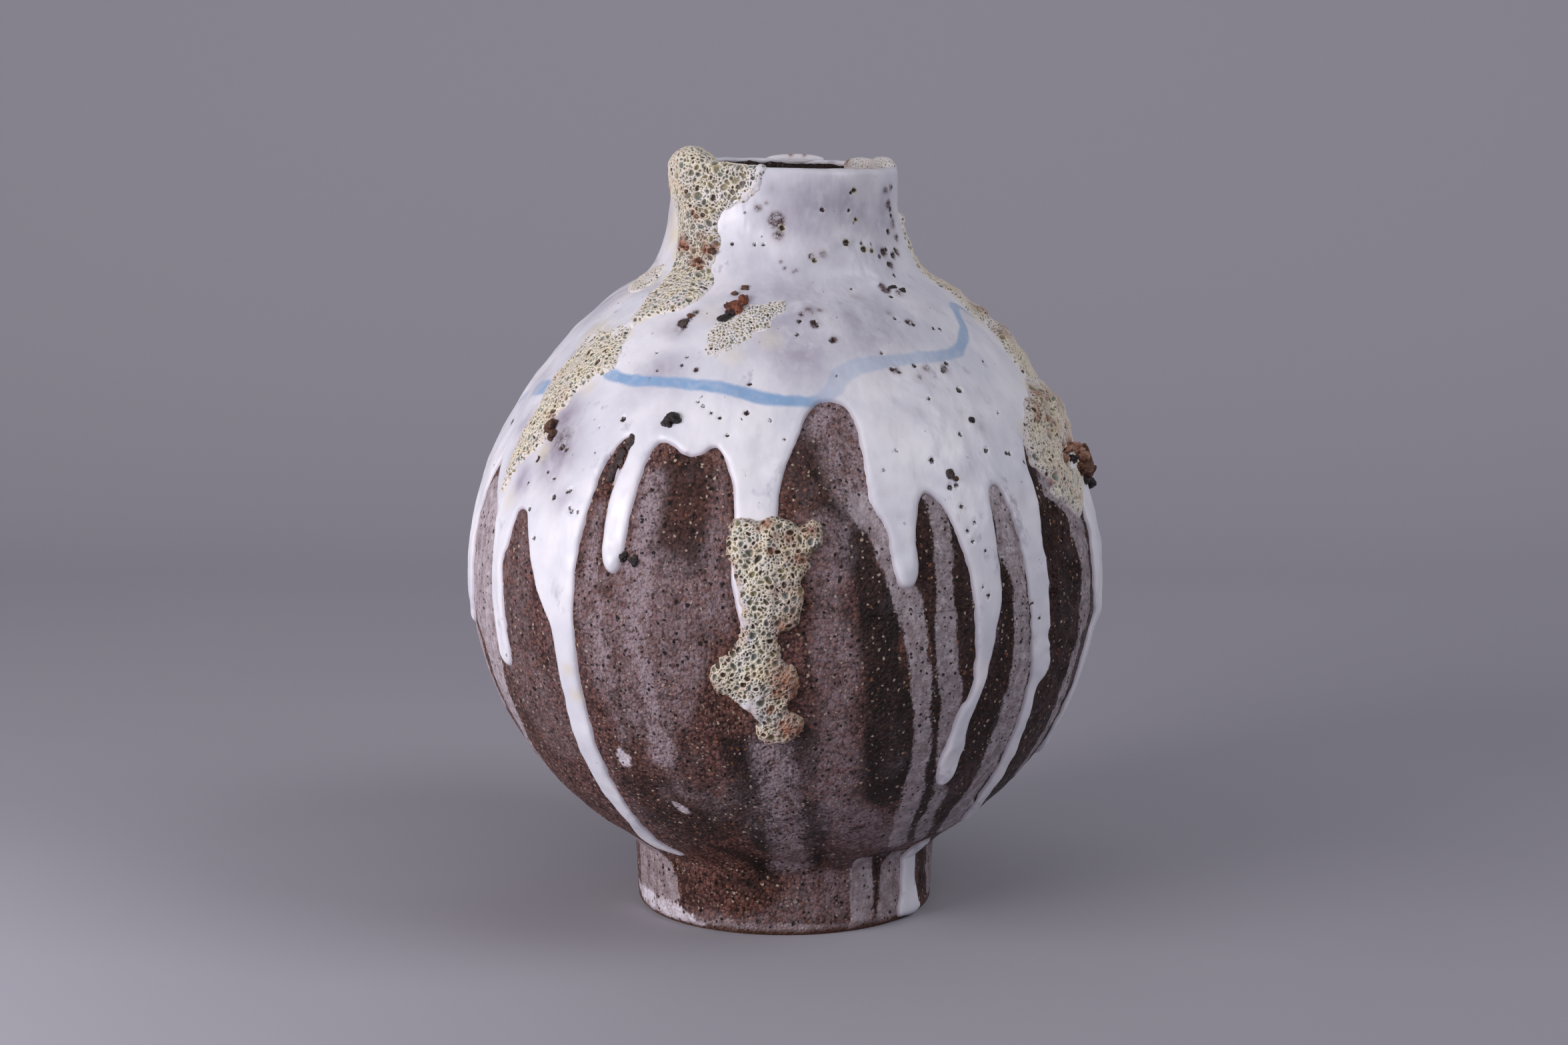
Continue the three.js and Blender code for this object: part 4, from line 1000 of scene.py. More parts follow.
def inner_points():
    """The jar's inside for each clay piece, as (radius, height) from its top edge to its bottom edge."""
    start = math.asin((FLOOR_HEIGHT - BELLY_HEIGHT) / INNER_RADIUS)
    bowl = arc_points((0, BELLY_HEIGHT), INNER_RADIUS, 0, start)
    shoulder = shoulder_curve()
    slope = np.gradient(shoulder, axis=0)
    inward = np.stack([-slope[:, 1], slope[:, 0]], axis=1)
    inward /= np.linalg.norm(inward, axis=1, keepdims=True)
    inside = shoulder + inward * BODY_WALL
    inside = inside[inside[:, 0] > NECK_BASE_RADIUS]
    inside[0] = (INNER_RADIUS, BELLY_HEIGHT)
    return {
        "clay_neck": [(THROAT_RADIUS, THROAT_HEIGHT), (THROAT_RADIUS + 1, THROAT_HEIGHT - 12),
                      (NECK_BASE_RADIUS - 3, SHOULDER_HEIGHT + 6), (NECK_BASE_RADIUS, SHOULDER_HEIGHT),
                      (SHOULDER_RADIUS, SHOULDER_HEIGHT)],
        "clay_upper": [(SHOULDER_RADIUS, SHOULDER_HEIGHT), (NECK_BASE_RADIUS, SHOULDER_HEIGHT),
                       (NECK_BASE_RADIUS, SHOULDER_HEIGHT - BODY_WALL), *inside[::-4], inside[0],
                       (BELLY_RADIUS, BELLY_HEIGHT)],
        "clay_lower": [(BELLY_RADIUS, BELLY_HEIGHT), *bowl[::3], bowl[-1], (NEAR_AXIS, FLOOR_HEIGHT),
                       (NEAR_AXIS, FOOT_HEIGHT), (FOOT_TOP_RADIUS, FOOT_HEIGHT)],
        "clay_foot": [(FOOT_TOP_RADIUS, FOOT_HEIGHT), (FOOT_TOP_RADIUS - FOOT_WALL, FOOT_HEIGHT),
                      (FOOT_RADIUS - FOOT_WALL, FOOT_CHAMFER), (FOOT_RADIUS - FOOT_WALL + FOOT_CHAMFER, 0),
                      (FOOT_RADIUS - FOOT_CHAMFER, 0)],
    }


def lathe_grid(outline, columns):
    """An inside surface as a grid of points."""
    angle = np.radians(np.linspace(-180, 180, columns, endpoint=False))
    radius, height = np.hsplit(np.array(outline, float), 2)
    return turned(angle, radius, height)


def clay_rows():
    """Where the rows lie along the outside, and the first row of each clay piece."""
    ends = [0, along_at(FOOT_HEIGHT), along_at(BELLY_HEIGHT), along_at(SHOULDER_HEIGHT), PATH[-1]]
    rows = []
    starts = [0]
    for low, high, step in zip(ends[:-1], ends[1:], [CLAY_ROW, CLAY_ROW, CLAY_ROW, NECK_ROW]):
        count = round(float(high - low) / step)
        rows.extend(np.linspace(low, high, count + 1)[:-1])
        starts.append(len(rows))
    return rows + [ends[-1]], starts


def clay_fields(surface):
    """The clay's looks: each field's values on the outside, and its one value on the inside."""
    back_wash, back_dark = back_bands()
    wash, strength = band_fields(surface, WASH_BANDS + back_wash)
    worn = surface.height[:, None] + 1.5 * surface.noise(6, 41)
    over_lip = smooth_step(surface.along, PATH[LIP_TOP], PATH[LIP_TOP] + 2)[:, None]
    return {
        "wash": (wash, -6),
        "wash_strength": (strength, 0),
        "film": (soft_bands(surface, FILM_BANDS, FILM_SOFT), 0),
        "dark": (soft_bands(surface, DARK_BANDS + back_dark, DARK_SOFT), 0),
        "bare": (BARE_FOOT * (1 - smooth_step(worn, 1, 4)), 0.1),
        # The inside field darkens the clay inside the neck and the jar: unglazed dark clay and painted shade
        "inside": (np.broadcast_to(over_lip, surface.shape), 1),
    }


def stacked(first, second):
    """The entries of one grid and then those of another, as one list."""
    return np.concatenate([grid.reshape(-1, grid.shape[-1]) for grid in (first, second)])


def clay_pieces():
    """Four clay pieces with one continuous outside."""
    material = clay_material()
    rows, starts = clay_rows()
    surface = Surface(np.linspace(-180, 180, CLAY_COLUMNS, endpoint=False), rows)
    relief = clay_relief(surface) + surface.layers(FINE_RELIEF, 11)
    points = surface.place(relief * above_foot(surface) * below_lip(surface))
    normals = grid_normals(points, True)
    looks = clay_fields(surface)
    insides = inner_points()
    for (name, node), start, end in zip(CLAY_NODES.items(), starts[:-1], starts[1:]):
        piece_rows = slice(start, end + 1)
        outer = points[piece_rows]
        inner = lathe_grid(insides[name], CLAY_COLUMNS // 4)
        outer_size, inner_size = math.prod(outer.shape[:2]), math.prod(inner.shape[:2])
        faces = stacked(grid_faces(outer.shape[:2], True), grid_faces(inner.shape[:2], True) + outer_size)
        fields = {field: np.append(outside[piece_rows], np.full(inner_size, inside))
                  for field, (outside, inside) in looks.items()}
        all_normals = stacked(normals[piece_rows], grid_normals(inner, True))
        piece = mesh_object(name, stacked(outer, inner), faces, fields, all_normals)
        dress(piece, material, node)


# Glaze

def back_edge():
    """The coat's edge round the back, from its right end to its left end."""
    line = []
    for i, (azimuth, half, tip) in enumerate(BACK_DRIPS):
        wide = math.degrees(half / BACK_DRIP_RADIUS)
        low_wide = math.degrees(half / ring_radius(tip))
        top = BACK_SKIRT - BACK_SKIRT_STEP * (i % 3)
        # One side of a drip, as distance from its middle line and height
        side = [
            (wide * 2.3, top), (wide * 1.3, top - DRIP_SHOULDER), (wide, (top + tip) / 2),
            (low_wide * 1.05, tip + half * 1.3), (low_wide * 0.7, tip + 1),
        ]
        line += [(azimuth - out, height) for out, height in side]
        line += [(azimuth + out, height) for out, height in side[:0:-1]]
        line.append((azimuth + wide * 2.3, top + 2))
    return line


def coat_line():
    """The coat's edge once round the jar, from the side of one drip back to the same place."""
    azimuth, height = EDGE_SEAM
    corner = (WHITE_EDGE[0][0] + 360, WHITE_EDGE[0][1])
    return rounded([EDGE_SEAM] + WHITE_EDGE[1:] + back_edge() + [corner, (azimuth + 360, height)])


def oval(azimuth, height, half_wide, half_tall, steps=12):
    wide = math.degrees(half_wide / ring_radius(height))
    turn = np.radians(np.arange(steps) * 360 / steps)
    return [(azimuth + wide * math.cos(a), height + half_tall * math.sin(a)) for a in turn]


def coat_depth(surface):
    """Signed distance inside the coat's edge, at the skirt, the drips and the dabs."""
    depth = surface.signed_gap(coat_line())
    for dab in GLAZE_DABS:
        depth = np.maximum(depth, surface.depth_in(oval(*dab), 8))
    inside_end = PATH[LIP_TOP] + COAT_INSIDE
    depth = np.minimum(depth, inside_end + 0.5 * surface.noise(9, 31) - surface.along[:, None])
    return depth + 0.4 * surface.noise(5, 32)


def rolled(depth, thickness, roll):
    """The height of a glaze with a round edge, which goes on into the wall outside it."""
    share = np.clip(depth / roll, 0, 1)
    return np.where(depth > 0, thickness * (1 - (1 - share) ** 2) ** ROLL_POWER, depth * TUCK_SLOPE)


def coat_rise(surface, depth):
    """How far the coat stands out. It is thicker along its edge and in its beads, and thin on the lip."""
    body = COAT_THICKNESS + surface.layers(COAT_WAVES, 51)
    body += EDGE_SWELL * np.exp(-((depth - EDGE_SWELL_DEPTH) / 2) ** 2)
    body *= 1 - LIP_THINNING * np.exp(-((surface.along - PATH[LIP_TOP]) / LIP_BLUR) ** 2)[:, None]
    return rolled(depth, surface.with_mounds(body, DRIP_BEADS), COAT_ROLL)


def blue_fields(surface):
    """How far outside the blue line a point lies, and the line's strength there."""
    gap = np.full(surface.shape, 6.0)
    tint = np.zeros(surface.shape)
    wobble = 0.3 * surface.noise(6, 61)
    for line in BLUE_LINE:
        azimuths, heights, halves, strengths = zip(*line)
        found, place = surface.gap_to_line(list(zip(azimuths, heights)), 8)
        found = found - np.interp(place, range(len(line)), halves) + wobble
        strength = np.interp(place, range(len(line)), strengths)
        gap, tint = picked(found < gap, (found, strength), (gap, tint))
    return gap, tint


def holes_field(surface, holes):
    """How far inside the nearest hole a point lies, in millimetres; a little under zero round it."""
    field = np.full(surface.shape, -float(HOLE_REACH))
    for azimuth, height, radius in holes:
        window, across, up = surface.window(azimuth, float(along_at(height)), radius + HOLE_REACH)
        field[window] = np.maximum(field[window], radius - np.hypot(across, up))
    return field


def coat_piece(name, low, high, step, material):
    """The part of the coat between two distances along the wall."""
    azimuths = np.linspace(-180, 180, COAT_COLUMNS, endpoint=False)
    surface = Surface(azimuths, np.linspace(low, high, round(float(high - low) / step) + 1))
    depth = coat_depth(surface)
    hole = holes_field(surface, HOLES + HALO_HOLES)
    rise = coat_rise(surface, depth)
    rise -= HOLE_DEPTH * smooth_step(hole, -0.3, 0.6)
    rise += surface.spots(CREASES)
    points = surface.place(rise + clay_relief(surface) * below_lip(surface) * UNDER_GLAZE)
    gap, tint = blue_fields(surface)
    fields = {
        "depth": depth,
        "blue_gap": gap,
        "blue_tint": tint,
        "cream": surface.spots(CREAM_STAINS),
        "dark": surface.spots(SMUDGES),
        "thin": surface.spots(THIN_AND_SHADED_PLACES),
        "hole": hole,
        "halo": holes_field(surface, HALO_HOLES),
    }
    piece = sheet_object(name, points, depth > -TUCK, fields, ring=True)
    dress(piece, material, "white_glaze_coat")


def glaze_pieces():
    material = glaze_material()
    seam = along_at(COAT_SEAM)
    coat_piece("glaze_shoulder", along_at(COAT_LOWEST), seam, COAT_ROW, material)
    coat_piece("glaze_neck", seam, PATH[LIP_TOP] + COAT_INSIDE + 3, NECK_ROW, material)
    glaze_runs(material)


# Crusts

def ground(surface):
    """How far the glaze or the bare clay stands out from the wall."""
    depth = coat_depth(surface)
    rise = np.maximum(coat_rise(surface, depth), 0)
    return rise + clay_relief(surface) * below_lip(surface) * np.where(depth > 0, UNDER_GLAZE, 1)


class Foam:
    """Open bubbles over some points: how far into one each lies, its size and a number, and the room left."""

    def __init__(self, shape, largest):
        self.room = np.full(shape, float(largest) * 3)
        self.bowl = np.zeros(shape)
        self.size = np.zeros(shape)
        self.kind = np.zeros(shape)

    def open(self, window, gap, size, kind):
        """Opens one bubble, whose middle lies at a gap from each point of the window."""
        self.room[window] = np.minimum(self.room[window], gap - size)
        found = np.clip(1 - (gap / size) ** 2, 0, 1)
        nearer = found > self.bowl[window]
        for values, value in ((self.bowl, found), (self.size, size), (self.kind, kind)):
            values[window] = np.where(nearer, value, values[window])

    def depth(self):
        return self.bowl ** BOWL_POWER * self.size * BUBBLE_DEPTH


def bubble_tries(chance, count, area, largest, smallest, shares):
    """Bubble sizes from the largest down, each with the points where one is tried."""
    for size, share in zip(np.geomspace(largest, smallest, len(shares)), shares):
        for pick in chance.integers(0, count, int(area * share / (math.pi * size ** 2))):
            yield size, pick


def grid_foam(surface, inside, crowd, largest, seed):
    """Bubbles packed side by side on a grid, as many as inside allows at each point."""
    chance = np.random.default_rng(seed)
    foam = Foam(surface.shape, largest)
    rows, columns = np.nonzero(inside > 0)
    area = len(rows) * CRUST_CELL ** 2
    shifts = [BUBBLE_WARP * (surface.noise(2.6, seed + k) + 0.45 * surface.noise(1.1, seed + k))
              for k in (40, 41)]
    tries = bubble_tries(chance, len(rows), area * crowd, largest, SMALLEST_BUBBLE, BUBBLE_SHARES)
    for size, pick in tries:
        spot = rows[pick], columns[pick]
        if foam.room[spot] < size * BUBBLE_PACKING or chance.random() > inside[spot]:
            continue
        along, azimuth = surface.along[spot[0]], surface.azimuth[spot[1]]
        window, across, up = surface.window(azimuth, along, size * 2 + largest)
        squeeze = chance.uniform(0.8, 1.25)
        across = across + shifts[0][window] - shifts[0][spot]
        up = up + shifts[1][window] - shifts[1][spot]
        gap = np.hypot(across * squeeze + chance.uniform(-0.4, 0.4) * up, up / squeeze)
        foam.open(window, gap, size, chance.random())
    return foam


def surface_round(loop):
    """A fine grid on the wall, a little larger than a loop."""
    azimuths, heights = np.array(loop, float).T
    low = float(along_at(heights.min())) - CRUST_MARGIN
    high = min(float(along_at(heights.max())) + CRUST_MARGIN, PATH[-1])
    ring = float(np.interp((low + high) / 2, PATH, PATH_RADIUS))
    left = azimuths.min() - math.degrees(CRUST_MARGIN / ring)
    right = azimuths.max() + math.degrees(CRUST_MARGIN / ring)
    columns = round(math.radians(right - left) * ring / CRUST_CELL)
    return Surface(np.linspace(left, right, columns), np.arange(low, high, CRUST_CELL))


def crust_piece(name, node, material, loop, thick, lumps, smooth, rust=(), burnt=(), *, largest, seed,
                crowd=1.0, soft=1.0, white=0.0, edge_burn=0.0):
    """A foamed crust with open bubbles, inside a loop of (azimuth, height) points."""
    surface = surface_round(loop)
    ragged = surface.layers(CRUST_RAGGED, seed + 70)
    depth = surface.depth_in(loop, 9) + ragged
    body = surface.with_mounds(thick * (1 + surface.layers(CRUST_SWELL, seed + 72)), lumps)
    border = (1 - smooth_step(depth, 0, soft * 2)) * min(1, (soft - 1) / 2)
    skin = np.maximum(surface.spots(smooth), border)
    patchy = 0.6 + 0.4 * smooth_step(surface.noise(5, seed + 74), -0.5, 0.4)
    inside = np.clip(smooth_step(depth, -0.4, soft) * (1 - skin * 1.2), 0, 1) * patchy
    foam = grid_foam(surface, inside, crowd, largest, seed)
    deep = np.minimum(foam.depth(), body * DEEPEST_BUBBLE)
    rise = rolled(depth, body, 1.6 + soft)
    points = surface.place(ground(surface) + rise - deep * smooth_step(depth, 0, 1.2))
    burnt_edge = edge_burn * (1 - smooth_step(depth + ragged, 0.5, 3.5))
    scorched = np.maximum(surface.spots(burnt), burnt_edge)
    fields = {
        "deep": foam.bowl,
        "kind": foam.kind + 0.5 * scorched,
        "burnt": scorched,
        "rust": surface.spots(rust),
        "skin": np.maximum(skin, white),
    }
    dress(sheet_object(name, points, depth > -1.0, fields), material, node)


def crust_material():
    t = Tree("crater_crust")
    uneven = t.crumpled(0.8, 0.9)
    t.colour = t.mix(t.fit(t.noise(9, 4, 0.6), 0.4, 0.62), CRUST_CREAM, CRUST_PALE)
    warm = t.times(t.fit(t.noise(12, 4, 0.6), 0.5, 0.68), 0.7)
    t.paint(warm, CRUST_WARM)
    t.paint(t.field("skin"), CRUST_SKIN)
    t.paint(t.times(t.field("burnt"), 0.85), CRUST_BURNT)
    hollow = t.mix(t.fit(t.noise(5, 3, 0.6), 0.42, 0.58), HOLLOW_OLIVE, HOLLOW_GREY)
    depth = t.field("deep")
    t.paint(t.fit(depth, 0.1, 0.5), hollow)
    # Painted shade: darker towards the bottom of each bubble
    t.paint(t.fit(depth, 0.5, 0.95, 0, 0.5), HOLLOW_DEEP_SHADE)
    dark = t.times(t.fit(t.field("kind"), 0.7, 0.86), t.fit(depth, 0.15, 0.5))
    t.paint(t.times(dark, 0.9), HOLLOW_DARK)
    tiny = t.specks(1.25, 0.6, 0.3, uneven)
    tiny = t.times(tiny, t.fit(t.field("skin"), 0.3, 0.8, 1, 0.1))
    tiny = t.times(tiny, t.fit(t.noise(5, 3, 0.6), 0.38, 0.58, 0.2, 1))
    t.paint(t.times(tiny, 0.7), CRUST_PIT)
    rust = t.times(t.field("rust"), t.fit(t.noise(2.4, 4, 0.7), 0.2, 0.55, 0.6, 1))
    fired = t.mix(t.fit(t.noise(1.8, 3, 0.7), 0.42, 0.6), RUST_LIGHT, RUST_DARK)
    t.paint(rust, fired)
    height = t.minus(t.noise(0.9, 3, 0.6), tiny)
    normal = t.bump(height, 0.3, 0.8)
    shine = t.fit(depth, 0, 0.7, 0.45, 0.28)
    return t.finish(shine, normal, 0.45)


def belly_crust(material):
    loop = [
        (-9, 188), (-9.8, 182.4), (-10, 177.4), (-9.9, 173), (-9, 171.4), (-8.2, 167.4), (-7.6, 160),
        (-7.1, 152), (-6.6, 147), (-7.5, 143), (-8.5, 140), (-9.5, 136), (-11, 132.5), (-12.5, 130.5),
        (-13, 127), (-12.8, 124), (-12, 121), (-11, 118.5), (-9.5, 117.5), (-8.5, 116), (-7.3, 113),
        (-6, 111.5), (-5, 109), (-4.6, 107), (-5.3, 105), (-5.3, 103), (-4.5, 100), (-3.5, 98), (-2, 97.5),
        (-0.5, 98), (1.5, 100), (3, 103), (3.6, 106), (3, 109.5), (1.5, 111), (0, 112), (0.8, 116),
        (2.2, 119), (2.4, 124), (2, 128), (1, 131), (-0.3, 133), (-1, 136), (-1, 141), (-1.5, 144),
        (0.5, 144.5), (1.5, 147), (2.5, 148), (3, 152), (3, 160), (2.8, 165), (3.5, 167), (4, 170),
        (4.2, 174), (5, 176), (6.2, 178), (6.7, 182), (6.2, 186), (5, 188), (4, 187), (3, 185), (2, 184.5),
        (1, 187), (0, 189), (-2, 188.5), (-4, 187.5), (-6, 188), (-7.5, 188.5),
    ]
    lumps = [
        (-3, 178, 10, 1.8), (0, 183, 5, 1.4), (5, 182, 4, 1.3), (-8, 180, 5, 0.8), (0, 156, 7, 1.4),
        (-3, 165, 8, 0.8), (-10.5, 125, 6, 1.2), (-3, 128, 6, 0.9), (0.5, 124, 5, 1.2), (1, 106, 5, 1.4),
        (-3.5, 100, 4, 0.8), (2.5, 176, 5, 0.8),
    ]
    smooth = [
        (-6, 114, 5, 1), (-5, 119, 3, 0.8), (-7.4, 162, 2.2, 0.9), (-7, 156, 2.6, 1), (-6.6, 149, 2.6, 1),
        (-4.6, 109, 3, 0.9), (-6, 142, 2.4, 0.7), (-8.6, 168, 2, 0.8), (-7, 135, 3, 0.4),
    ]
    rust = [
        (0, 126, 5.5, 0.95), (-1, 121, 4, 0.8), (1.6, 123, 4, 0.9), (0.5, 106, 5.5, 0.95), (2.4, 106, 3, 1),
        (-3, 185.5, 2.4, 0.8), (-4.4, 184, 1.6, 0.8), (-1.5, 181, 2, 0.5), (0.5, 180.4, 2, 0.6),
        (4.4, 183, 2.4, 0.7), (2.6, 173, 2.6, 0.9), (-2.4, 175.6, 1.6, 0.8), (-0.5, 147, 4, 0.6),
        (1.5, 150, 3, 0.4), (-11.6, 118.8, 2, 0.7), (-12.6, 122, 2, 0.6), (-2.5, 113.5, 2, 0.9),
        (-1.5, 161, 2.5, 0.35), (2.8, 160, 2.5, 0.4), (-3, 101, 2.4, 0.4), (1.5, 119, 4, 0.9),
        (2, 113, 3, 0.9), (2, 103, 3, 0.8),
    ]
    burnt = [
        (1.5, 180, 5, 0.8), (4.5, 184, 4, 0.9), (1, 172, 5, 0.7), (0.5, 163, 5, 0.8), (1.5, 155, 5, 0.9),
        (0, 148, 4, 0.9), (-1.5, 141, 4, 0.8), (-12, 124, 4, 0.7), (-1.5, 132, 4, 0.7), (-3, 100, 4, 0.6),
    ]
    crust_piece("crust_belly", "belly_crust", material, loop, 2.5, lumps, smooth, rust, burnt,
                crowd=1.15, largest=1.5, edge_burn=0.75, seed=11)


def left_crust_run(material):
    loop = [
        (-84, 322), (-83, 313), (-78, 308), (-73, 304), (-67, 302), (-63.5, 297), (-61.5, 290), (-58, 286),
        (-56, 282), (-56.3, 273), (-53, 266), (-51.8, 260), (-52, 256), (-57, 252), (-62, 253),
        (-66.5, 250), (-66, 245), (-65.5, 240), (-67.6, 233), (-65.5, 226), (-65, 218), (-66, 208),
        (-65, 197), (-64.8, 188), (-62.4, 187), (-61.5, 199), (-59, 203), (-57, 208), (-55, 210),
        (-55.5, 219), (-53.3, 225), (-53.5, 230), (-50.7, 233), (-50.5, 237), (-46, 238), (-44.8, 241),
        (-46.5, 247), (-47.5, 252), (-48, 257), (-43.7, 260), (-37.6, 262.5), (-31, 265), (-29, 270),
        (-29.4, 274), (-34, 278), (-31.8, 283), (-31.6, 290), (-34, 294), (-35, 299), (-30, 303),
        (-24, 305.5), (-18, 307), (-13.5, 310.5), (-11, 315), (-9.5, 319), (-9, 321.6), (-16, 322.5),
        (-30, 324), (-44, 326), (-62, 327), (-76, 326),
    ]
    lumps = [
        (-60, 308, 9, 1.8), (-50, 307, 9, 1.4), (-50, 298, 9, 1.3), (-42, 292, 8, 1.0), (-45, 279, 8, 1.0),
        (-40, 270, 8, 1.0), (-36, 286, 4, 1.2), (-50, 288, 4, 1.6), (-57, 236, 8, 1.2), (-60, 226, 6, 0.8),
        (-61, 213, 6, 0.6), (-50, 243, 5, 0.6), (-18, 315, 9, -0.5), (-26, 310, 6, -0.3),
    ]
    smooth = [
        (-50, 256, 5, 0.9), (-62, 250, 5, 0.8), (-66, 249, 4, 0.8), (-64, 192, 5, 0.5), (-52, 252, 4, 0.8),
        (-41, 309, 3, 0.6), (-33, 309, 3.5, 0.6), (-66, 296, 4, 0.6), (-24, 306.5, 4, 0.7),
        (-15, 311, 3, 0.6), (-69, 304, 4, 0.6), (-62, 290, 3, 0.7), (-12, 319, 4, 0.9), (-14, 313, 5, 0.9),
        (-19, 308.5, 4, 0.9), (-25, 305, 4, 0.8), (-31, 301, 3.4, 0.8), (-34, 295, 3, 0.7),
        (-32, 289, 3, 0.7), (-32.6, 280, 3, 0.7), (-20, 314, 3, 0.5), (-30, 270, 4, 0.6),
        (-38, 265, 4, 0.5), (-24, 320, 3, 0.4),
    ]
    rust = [
        (-51.5, 287.5, 3.6, 1), (-48.5, 286.5, 2.6, 1), (-36.4, 285.4, 3.0, 1), (-33.6, 287, 2, 1),
        (-42, 280.5, 2.4, 0.9), (-38, 280, 2.4, 0.9), (-46, 300, 2.6, 0.5), (-40, 290.4, 3, 0.4),
        (-74.5, 308, 3, 0.8), (-44, 284.6, 2.2, 0.5), (-54.6, 217, 3.4, 0.7), (-56.4, 219, 2.2, 0.6),
    ]
    crust_piece("crust_left_run", "left_crust_run", material, loop, 1.4, lumps, smooth, rust,
                soft=1.7, largest=1.6, seed=12)
    crust_knob("crust_left_knob", "left_crust_run", material, -57, 45.8, 318.6, (12.6, 9.2, 9.4), 31,
               largest=1.7)


def left_flat_patch(material):
    loop = [
        (-88, 271.5), (-76, 275), (-67, 279), (-62.8, 278.5), (-62, 272), (-63, 267), (-70, 266),
        (-79, 268.6),
    ]
    smooth = [(-66, 272, 6, 0.6), (-75, 272, 6, 0.5)]
    crust_piece("crust_left_patch", "left_flat_patch", material, loop, 1.0, [(-72, 273, 7, 0.7)], smooth,
                crowd=0.7, largest=0.9, soft=2, white=0.15, seed=13)


def front_shoulder_patch(material):
    loop = [
        (-21.5, 257), (-20.5, 259.5), (-18, 260), (-15, 261.5), (-13, 263.5), (-12, 266), (-10, 265.5),
        (-7, 265), (-5, 266.3), (-2, 266.6), (0.3, 266), (0, 264), (-1.5, 262), (-3, 260), (-4, 257),
        (-6, 256), (-8, 256), (-9, 254), (-11, 252), (-13, 250), (-15, 249), (-17, 247), (-19, 246.5),
        (-20.5, 247), (-20.7, 250), (-21.5, 254),
    ]
    lumps = [(-15, 256, 8, 0.5), (-6, 262, 6, 0.3)]
    smooth = [(-8, 254, 4, 0.5), (-19, 248, 3, 0.4)]
    crust_piece("crust_front_patch", "front_shoulder_patch", material, loop, 0.5, lumps, smooth,
                crowd=0.9, largest=0.8, soft=1.9, white=0.55, seed=14)


def right_crusts(material):
    lower = [
        (55.2, 208), (56.3, 213), (58, 216.5), (61.3, 220), (62.3, 223.4), (64.7, 224.8), (68, 225.2),
        (69.5, 227.5), (71.5, 230), (74, 231.5), (78, 230), (86, 228), (95, 227), (102, 224), (106, 217),
        (101, 211), (103, 205), (97, 200), (89, 202.5), (85, 202), (82, 198), (79, 191), (76, 186),
        (73, 183), (71.4, 180), (69, 176), (66, 177.5), (64.3, 181), (61.3, 184), (59, 186), (58, 189),
        (59.3, 191.5), (58.5, 195), (56, 198.6), (55, 203),
    ]
    lumps = [
        (66, 219, 4, 1.8), (72, 223, 5, 3.0), (79, 220, 5, 3.8), (86, 217, 6, 3.0), (70, 212, 4, 1.6),
        (62, 208, 5, 0.9), (66, 196, 5, 1.0), (67, 186, 5, 0.9), (75, 214, 4, 2.2), (83, 208, 7, 1.2),
        (76, 205, 3, -0.8), (73, 218, 3, -1.0),
    ]
    rust = [
        (66, 222, 3, 0.8), (70, 225, 2, 0.8), (68, 215.4, 2.4, 0.9), (64, 217, 2, 0.7), (76, 222.6, 2, 0.7),
        (84, 221, 6, 0.6), (59, 193, 2, 1), (72, 203, 3, 0.9), (78, 203, 4, 0.9), (86, 202.5, 4, 0.8),
        (69, 197, 2.4, 0.6), (92, 219, 4, 0.5),
    ]
    smooth = [(78, 209, 4, 0.7), (72, 207, 3, 0.5), (57, 200, 2.5, 0.5), (68, 178, 3, 0.5)]
    burnt = [(72, 222, 5, 1.0), (80, 221, 5, 1.0), (70, 214, 3, 1.0), (64, 219, 3, 0.9), (69, 219, 2, 1.0)]
    crust_piece("crust_right_lower", "right_crust_lower", material, lower, 1.7, lumps, smooth, rust, burnt,
                crowd=0.66, largest=2.6, soft=2.4, edge_burn=0.3, seed=15)
    upper = [
        (74.7, 238), (75, 244), (77, 249), (81, 252), (78, 255.6), (74.6, 258.6), (76, 262), (79, 266),
        (81, 272), (83, 280), (84, 290), (86, 299), (91, 301), (94, 292), (92, 283), (97, 275), (102, 268),
        (99, 258), (104, 249), (101, 240), (97, 234), (102, 228), (96, 225), (90, 226), (82, 228),
        (76.5, 229.6), (74.2, 233.6),
    ]
    lumps = [(86, 256, 5, 2.6), (84, 249, 4, 2.0), (82, 240, 7, 2.0), (92, 246, 8, 2.6), (79, 246, 4, 1.2),
             (94, 236, 6, 1.6), (88, 297, 4, 1.2), (88, 286, 3, 0.7), (87, 264, 4, 0.6)]
    rust = [
        (80, 247.4, 3, 0.8), (86, 247.4, 4, 0.9), (92, 247.4, 4, 0.8), (84, 258.6, 3, 0.5), (90, 236, 3, 0.5),
    ]
    smooth = [(82, 252, 4, 0.6)]
    burnt = [(85, 256, 4, 0.9), (82, 246, 3, 0.7)]
    crust_piece("crust_right_upper", "right_crust_upper", material, upper, 1.3, lumps, smooth, rust, burnt,
                crowd=0.66, largest=2.3, soft=1.8, seed=16)


def rim_crusts(material):
    crust_knob("crust_right_rim", "right_rim_crust", material, 112, 45.4, 317.4, (11, 4.4, 4.8), 33,
               largest=0.8, smooth=0.55, rough=0.09)
    crust_knob("crust_right_rim_low", "right_rim_crust", material, 133, 45.4, 317.0, (10.5, 4.0, 4.4), 34,
               rust=[(7, 3, 2.6, 0.95)], largest=0.8, smooth=0.55, rough=0.09)
    crust_knob("crust_back_rim", "back_rim_bump", material, 174, 45.6, 319.9, (13, 2.8, 2.6), 35,
               rust=[(2, 2.4, 1.2, 0.9), (-4, 2.2, 1.0, 0.8)], largest=0.5, smooth=0.95, rough=0.06)


def crust_pieces():
    material = crust_material()
    belly_crust(material)
    left_crust_run(material)
    left_flat_patch(material)
    front_shoulder_patch(material)
    right_crusts(material)
    rim_crusts(material)


# Stones

